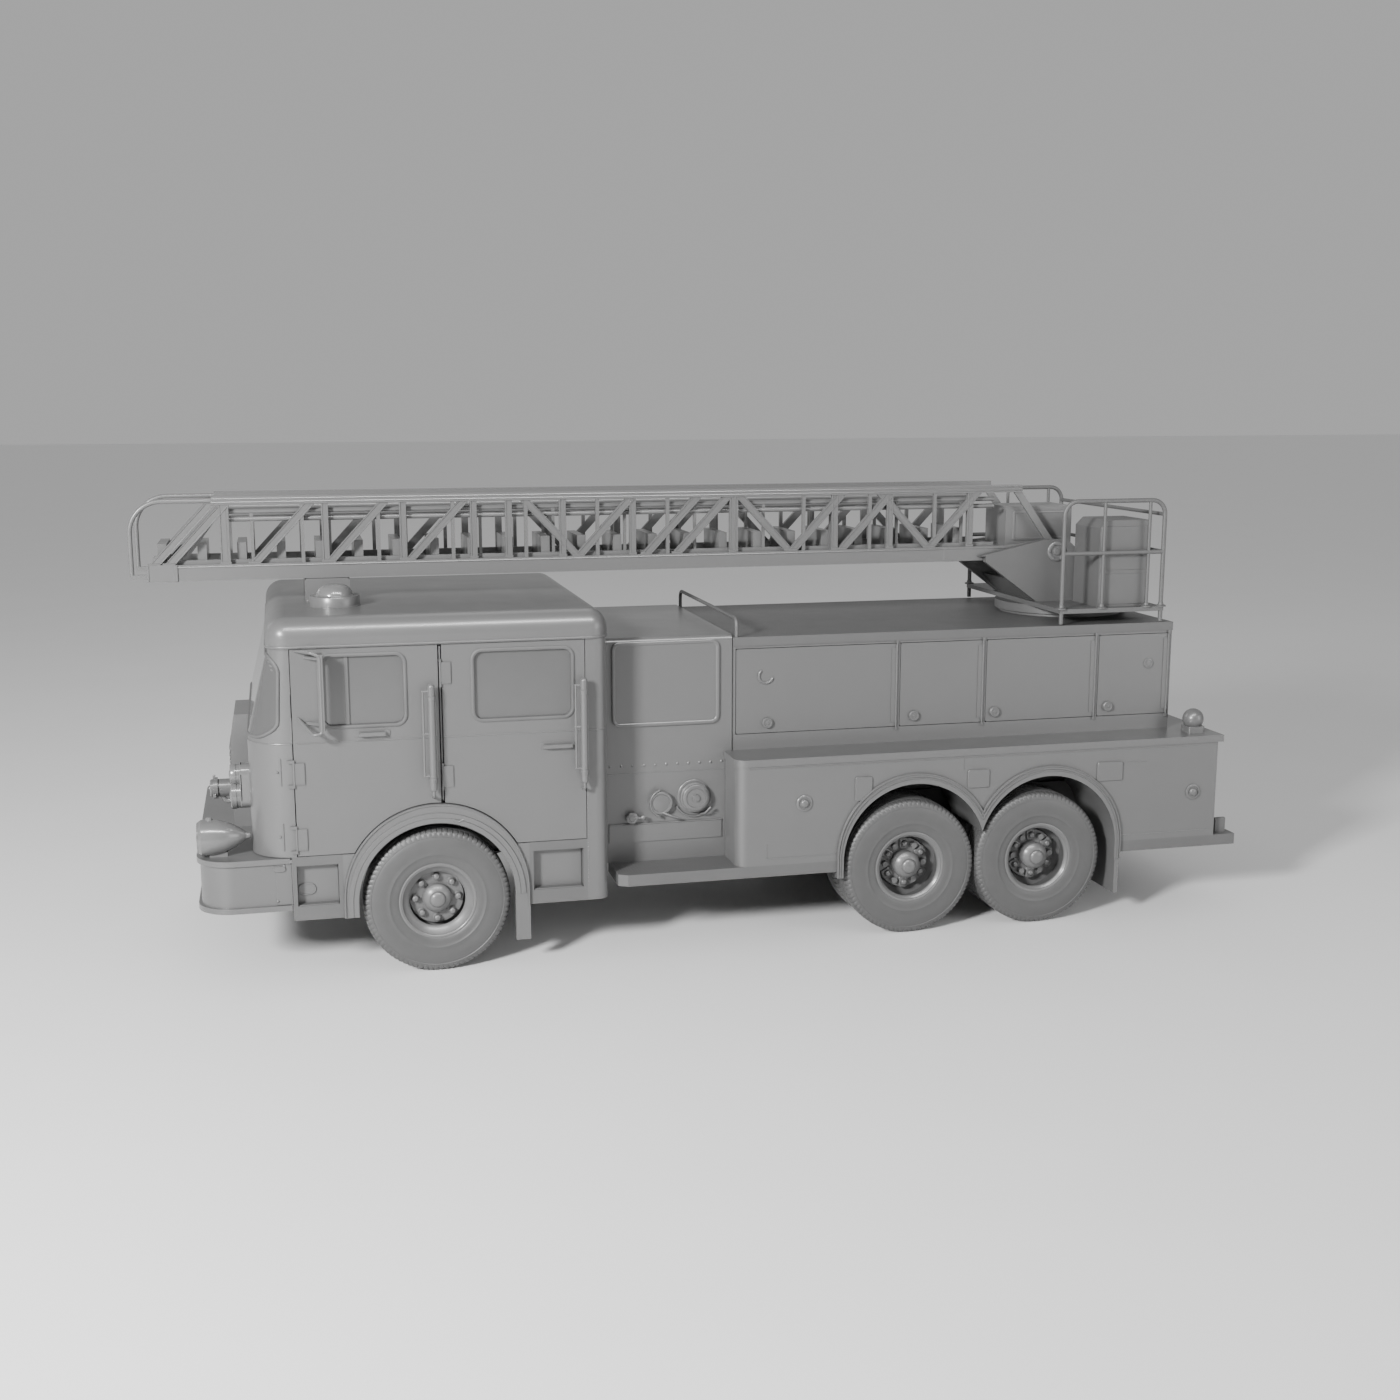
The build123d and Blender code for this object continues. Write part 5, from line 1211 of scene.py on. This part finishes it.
@dataclass
class BodyDress:
    """Caps, blank plates, seams, tail hook and rear lamps of the lower body."""

    face: float = BODY_SIDE

    def build(self) -> None:
        """Make the rear body's pieces on both sides."""
        for number, (x, z) in enumerate(((-2.688, 1.070), (-5.862, 0.974)), start=1):
            cap = lathe(left_face(x, self.face, z), mm(
                62, -2, 62, 8, 56, 13, 46, 13, 43, 6, 34, 6, 31, 16, 22, 24, 8, 27), 32)
            cap.both_sides().fixed(f"side_cap_{number}", Slot.PAINT)
        blanks = Shape()
        for x, z, half_w, half_h in ((-3.145, 1.155, 0.066, 0.092), (-4.0575, 1.182, 0.087, 0.070),
                                     (-5.141, 1.179, 0.106, 0.075)):
            blanks.join(plate(left_face(x, self.face, z), half_w, half_h, 0.016, 0.014))
        blanks.both_sides().fixed("side_blank_plates", Slot.PAINT)
        seams = Shape()
        for first, last in (((-2.404, 0.774), (-2.404, 0.667)), ((-2.404, 0.667), (-2.940, 0.667)),
                            ((-3.938, 1.360), (-3.938, 1.255)), ((-5.256, 0.663), (-6.020, 0.663)),
                            ((-5.253, 1.237), (-5.455, 1.237)), ((-2.270, 1.345), (-6.050, 1.345))):
            seams.join(bead(first, last, self.face, 0.0045))
        seams.both_sides().fixed("body_seams", Slot.PAINT)
        hook = plate(left_face(-6.155, 1.195, 0.672), 0.046, 0.060, 0.008, 0.020)
        hook.join(plate(facing(REARWARD, TAIL, 1.150, 0.672), 0.060, 0.060, 0.008, 0.014))
        hook.both_sides().fixed("tail_hooks", Slot.TREAD)
        lamp = mm(58, -2, 58, 12, 52, 18, 46, 16, 30, 22, 4, 25)
        rear = lathe(facing(REARWARD, TAIL, 1.120, 0.860), lamp, 28)
        rear.join(lathe(facing(REARWARD, TAIL, 1.120, 1.020), lamp, 28))
        rear.both_sides().fixed("rear_lamps", Slot.BRIGHT)
        blank = plate(facing(REARWARD, TAIL, 0.0, 0.900), 0.250, 0.060, 0.010, 0.008)
        blank.fixed("rear_blank_plate", Slot.PAINT)
        ball = lathe(facing(UPWARD, -5.935, 1.100, 1.466), mm(60, -2, 64, 6, 60, 14, 50, 16), 28)
        ball.both_sides().fixed("ball_lamp_collar", Slot.BRIGHT)


@dataclass
class LockerDress:
    """Latches and hinge knuckles of the locker doors."""

    edges: tuple[float, ...] = (-2.235, -3.540, -4.243, -5.186, -5.823)
    latches: tuple[float, ...] = (0.245, 0.116, 0.075, 0.089)
    face: float = 0.907
    latch_z: float = 1.614

    def door(self, index: int) -> Shape:
        """Latch cover, hinge knuckles and pull of one left door."""
        front = self.edges[index] - (0.024 if index == 0 else 0.012)
        back = self.edges[index + 1] + (0.024 if index == 3 else 0.012)
        latch = left_face(front - self.latches[index], self.face + 0.020, self.latch_z)
        whole = lathe(latch, mm(40, -4, 40, 2, 36, 6, 28, 6, 25, 2, 12, 2, 10, 8, 2, 9), 28)
        knuckle = lathe(Face((ahead(back + 0.005), self.face + 0.009, 0.0), *UPWARD),
                        mm(6.6, 0, 8.8, 2, 8.8, 26, 6.6, 28), 14)
        heights = np.linspace(1.560, 2.125, 10)
        whole.join(knuckle.copies(np.stack([np.zeros(10), np.zeros(10), heights], -1)))
        if index == 0:
            whole.join(tube(ring_path((-2.492, self.face + 0.004, 1.968), 0.054, 130, 345), 0.010, 10))
        if index == 3:
            whole.join(lathe(left_face(-5.630, self.face, 1.941), mm(
                42, -2, 42, 6, 36, 10, 28, 10, 24, 4, 4, 6), 28))
        return whole

    def build(self) -> None:
        """Make the pieces of all eight doors."""
        for side in Side:
            for index in range(4):
                word = f"{index + 1}_{side.word}"
                fittings = self.door(index).mirrored(side)
                fittings.piece(f"locker_fittings_{word}", f"locker_body_{word}", Slot.PAINT)


@dataclass
class TurntableDress:
    """Guard feet, console panels and pin caps of the turntable."""

    floor: float = 2.392
    guard_y: float = 0.904

    def console(self) -> Shape:
        """Two plain panels on the console's outer face."""
        whole = plate(left_face(-5.404, 0.850, 2.530), 0.196, 0.120, 0.010, 0.004)
        return whole.join(plate(left_face(-5.404, 0.850, 2.848), 0.196, 0.170, 0.010, 0.004))

    def build(self) -> None:
        """Make the turntable's pieces."""
        foot = mm(40, -2, 40, 7, 36, 10, 23, 13, 19, 30, 16.5, 31)
        feet = Shape()
        for x in (-4.867, -5.205, -5.587, -5.713):
            feet.join(lathe(facing(UPWARD, x, self.guard_y, self.floor), foot, 20))
        feet.both_sides().piece("guard_feet", "turntable", Slot.TREAD)
        self.console().piece("console_panels", "turntable", Slot.TREAD)
        cap = lathe(left_face(-5.050, 0.400, 2.790), mm(
            78, -2, 78, 12, 70, 18, 52, 18, 49, 12, 30, 12, 26, 24, 4, 26), 36)
        for a in np.arange(6) * np.pi / 3:
            bolt = left_face(-5.050 + 0.063 * math.cos(a), 0.417, 2.790 + 0.063 * math.sin(a))
            cap.join(hex_head(bolt, 0.008, 0.009))
        cap.both_sides().piece("heel_pin_caps", "turntable", Slot.LADDER)


@dataclass
class LadderDress:
    """Rail beads, posts and braces with their ribs, collars and winch panels of the ladder."""

    face: float = 0.328
    low_top: float = 2.838
    high_low: float = 3.260
    inner: float = 0.2850
    outer: float = 0.3225
    brace_run: float = 0.400
    bar_half: float = 0.038
    post_half: float = 0.025
    posts: tuple[float, ...] = (0.650, 0.095, -0.418, -0.677, -1.080, -1.613, -2.393, -3.213, -3.666, -4.338)
    brace_table: tuple = (  # front end, 1 where the foot leads and -1 where the head leads
        (1.843, 1), (1.741, 1), (1.152, 1), (0.626, 1), (0.052, 1), (-0.794, -1), (-1.201, 1), (-1.715, 1),
        (-1.955, 1), (-2.450, -1), (-2.870, 1), (-3.270, 1), (-3.590, -1), (-4.000, 1))

    def bar(self, foot: float, head: float, half: float, slim: float = 0.0) -> Shape:
        """A shallow channel from the low rail to the high one, with a foot plate.

        Args:
            foot: its middle at the low rail.
            head: its middle at the high rail.
            half: half its width along the rails.
            slim: depth taken off both faces, so that crossing bars share no plane.

        Returns:
            The shape.
        """
        inner = self.inner + slim
        outer = self.outer - slim
        ends = np.array([[foot, self.low_top - 0.002], [head, self.high_low + 0.004]])
        section = np.array([
            (-half, inner), (half, inner), (half, outer - 0.002), (half - 0.002, outer),
            (half - 0.009, outer), (half - 0.012, outer - 0.005), (-half + 0.012, outer - 0.005),
            (-half + 0.009, outer), (-half + 0.002, outer), (-half, outer - 0.002)])
        x = AXLE_X + ends[:, None, 0] + section[None, :, 0]
        y = np.broadcast_to(section[None, :, 1], x.shape)
        z = np.broadcast_to(ends[:, None, 1], x.shape)
        whole = Shape().grid(np.stack([x, y, z], -1), wrap_v=True, caps=True)
        shoe = left_face(foot, outer, self.low_top + 0.007)
        return whole.join(plate(shoe, half + 0.006, 0.009, 0.004, 0.003))

    def braces(self) -> Shape:
        """Every brace and post of the left side."""
        whole = Shape()
        for start, lean in self.brace_table:
            foot = start if lean > 0 else start - self.brace_run
            head = start - self.brace_run if lean > 0 else start
            whole.join(self.bar(foot, head, self.bar_half, 0.0 if lean > 0 else 0.0016))
        whole.join(self.bar(1.351, 1.351, 0.034, 0.0008))
        for x in self.posts:
            whole.join(self.bar(x, x, self.post_half, 0.0008))
        return whole

    def rails(self) -> Shape:
        """Beads along the rails' outer faces."""
        whole = Shape()
        for back, front, z, radius in ((-4.772, 1.434, 3.277, 0.006), (-4.772, 1.434, 3.301, 0.006),
                                       (-4.636, 1.683, 2.822, 0.007)):
            whole.join(bead((back, z), (front, z), self.face, radius))
        return whole

    def tip(self) -> Shape:
        """Bands at the front collars' ends and the blocks at the low rails' rear ends."""
        whole = plate(left_face(1.696, 0.332, 2.780), 0.013, 0.059, 0.003, 0.006)
        whole.join(plate(left_face(1.886, 0.332, 2.780), 0.009, 0.059, 0.003, 0.004))
        return whole.join(plate(left_face(-4.330, self.face, 2.780), 0.214, 0.0565, 0.004, 0.004))

    def build(self) -> None:
        """Make the ladder's pieces."""
        self.braces().both_sides().piece("ladder_braces", "bed", Slot.LADDER)
        self.rails().both_sides().piece("ladder_beads", "bed", Slot.LADDER)
        self.tip().both_sides().piece("ladder_tip", "bed", Slot.LADDER)
        panel = stack(left_face(-4.990, 0.200, 2.985), 0.235, 0.120, 0.020,
                      mm(0, -2, 0, 4, 4, 7, 20, 7, 24, 3, 80, 3), steps=5)
        panel.both_sides().piece("winch_panels", "bed", Slot.LADDER)


@dataclass
class Studio:
    """Pale floor, soft lights and the camera at the photo's angle."""

    camera_place: tuple[float, float, float] = (3.0944, 12.8174, 4.0758)
    yaw: float = 13.9775
    pitch: float = 10.4677
    lens: float = 43.452

    def camera(self) -> None:
        """Set the camera: it looks along minus Y turned by yaw, and down by pitch."""
        data = bpy.data.cameras.new("camera")
        data.lens = self.lens
        data.sensor_width = 36.0
        data.clip_end = 200.0
        eye = bpy.data.objects.new("camera", data)
        yaw = math.radians(self.yaw)
        pitch = math.radians(self.pitch)
        view = Vector((-math.sin(yaw) * math.cos(pitch), -math.cos(yaw) * math.cos(pitch), -math.sin(pitch)))
        eye.location = self.camera_place
        eye.rotation_euler = view.to_track_quat("-Z", "Y").to_euler()
        bpy.context.scene.collection.objects.link(eye)
        bpy.context.scene.camera = eye

    def light(self, name: str, place: tuple, target: tuple, size: float, power: float) -> bpy.types.Object:
        """Add a square soft light that faces a target, and return it."""
        data = bpy.data.lights.new(name, "AREA")
        data.size = size
        data.energy = power
        lamp = bpy.data.objects.new(name, data)
        lamp.location = place
        lamp.rotation_euler = (Vector(target) - Vector(place)).to_track_quat("-Z", "Y").to_euler()
        bpy.context.scene.collection.objects.link(lamp)
        return lamp

    def strip(self) -> None:
        """A long narrow light above the near side, which shows only as gloss on rounded edges."""
        lamp = self.light("strip", (0.5, 8.0, 10.5), (0.5, 0.0, 2.0), 10.0, 1900.0)
        lamp.data.shape = "RECTANGLE"
        lamp.data.size_y = 0.7
        lamp.visible_diffuse = False

    def floor(self) -> None:
        """A pale sheet far larger than the view."""
        u, v = np.meshgrid(np.linspace(-120, 120, 5), np.linspace(-120, 120, 5), indexing="ij")
        mesh = bpy.data.meshes.new("floor")
        shape = Shape().grid(np.stack([u, v, np.zeros_like(u)], -1))
        mesh.from_pydata(np.concatenate(shape.points).tolist(), [], shape.faces)
        sheet = bpy.data.objects.new("floor", mesh)
        bpy.context.scene.collection.objects.link(sheet)
        s = Surface("floor_pale")
        cloud = s.noise(0.8, 3.0)
        s.feed(s.shader, "Base Color", s.blend(cloud, grey(0.84), grey(0.87)))
        s.feed(s.shader, "Roughness", 0.55 + 0.1 * cloud)
        mesh.materials.append(s.material)

    def build(self) -> None:
        """Set the camera, the floor, the lights and the surrounding glow."""
        self.camera()
        self.floor()
        world = bpy.data.worlds.new("studio")
        bpy.context.scene.world = world
        world.use_nodes = True
        world.node_tree.nodes["Background"].inputs["Color"].default_value = grey(0.95)
        world.node_tree.nodes["Background"].inputs["Strength"].default_value = 0.47
        self.light("key", (11.5, 12.0, 8.0), (0.0, 0.0, 1.4), 2.4, 5700.0)
        self.light("fill", (-11.0, 11.0, 4.5), (-1.0, 0.0, 1.4), 7.0, 650.0)
        self.light("rim", (-1.0, -7.0, 14.0), (0.0, 0.0, 2.0), 6.0, 150.0)
        self.strip()


def make_finishes() -> None:
    """Build one material for each slot of the record."""
    makers = {
        Slot.PAINT: Paint("body_paint", 0.105),
        Slot.BUMPER: Paint("bumper_paint", 0.102),
        Slot.WHEEL: Paint("wheel_paint", 0.108, rough=0.36, dust=0.6),
        Slot.LADDER: Paint("ladder_paint", 0.112, rough=0.36, dust=0.0),
        Slot.CHASSIS: Paint("chassis_paint", 0.06, rough=0.5, dust=0.8, coat=0.0),
        Slot.TYRE: Rubber("tyre_rubber", 0.070),
        Slot.GLASS: Pane("window_pane", 0.080),
        Slot.ENGINE: Casting("engine_iron", 0.07),
        Slot.FABRIC: Weave("seat_cloth", 0.08),
        Slot.DASH: Casting("moulded_plastic", 0.09),
        Slot.BRIGHT: Bright("bright_fitting", 0.13),
        Slot.TREAD: TreadPlate("tread_plate", 0.09),
    }
    FINISHES.update({slot: maker.build() for slot, maker in makers.items()})


def dress_nodes(frame: dict) -> None:
    """Give every CAD node the finish of its slot."""
    for entry in frame["record"]["subparts"]:
        obj = frame["nodes"][entry["node"]]
        obj.data.materials.clear()
        obj.data.materials.append(FINISHES[Slot(entry["material_slot"])])


def main() -> None:
    """Load the frame, dress it and set the studio."""
    logging.basicConfig(level=logging.INFO, format="%(message)s")
    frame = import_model()
    make_finishes()
    dress_nodes(frame)
    kinds = (Tyres, Wheels, Arches, CabDress, Seats, FrontDress, PumpDress, BodyDress, LockerDress,
             TurntableDress, LadderDress, Studio)
    for kind in kinds:
        kind().build()
        log.info("built %s", kind.__name__)


if __name__ == "__main__":
    main()
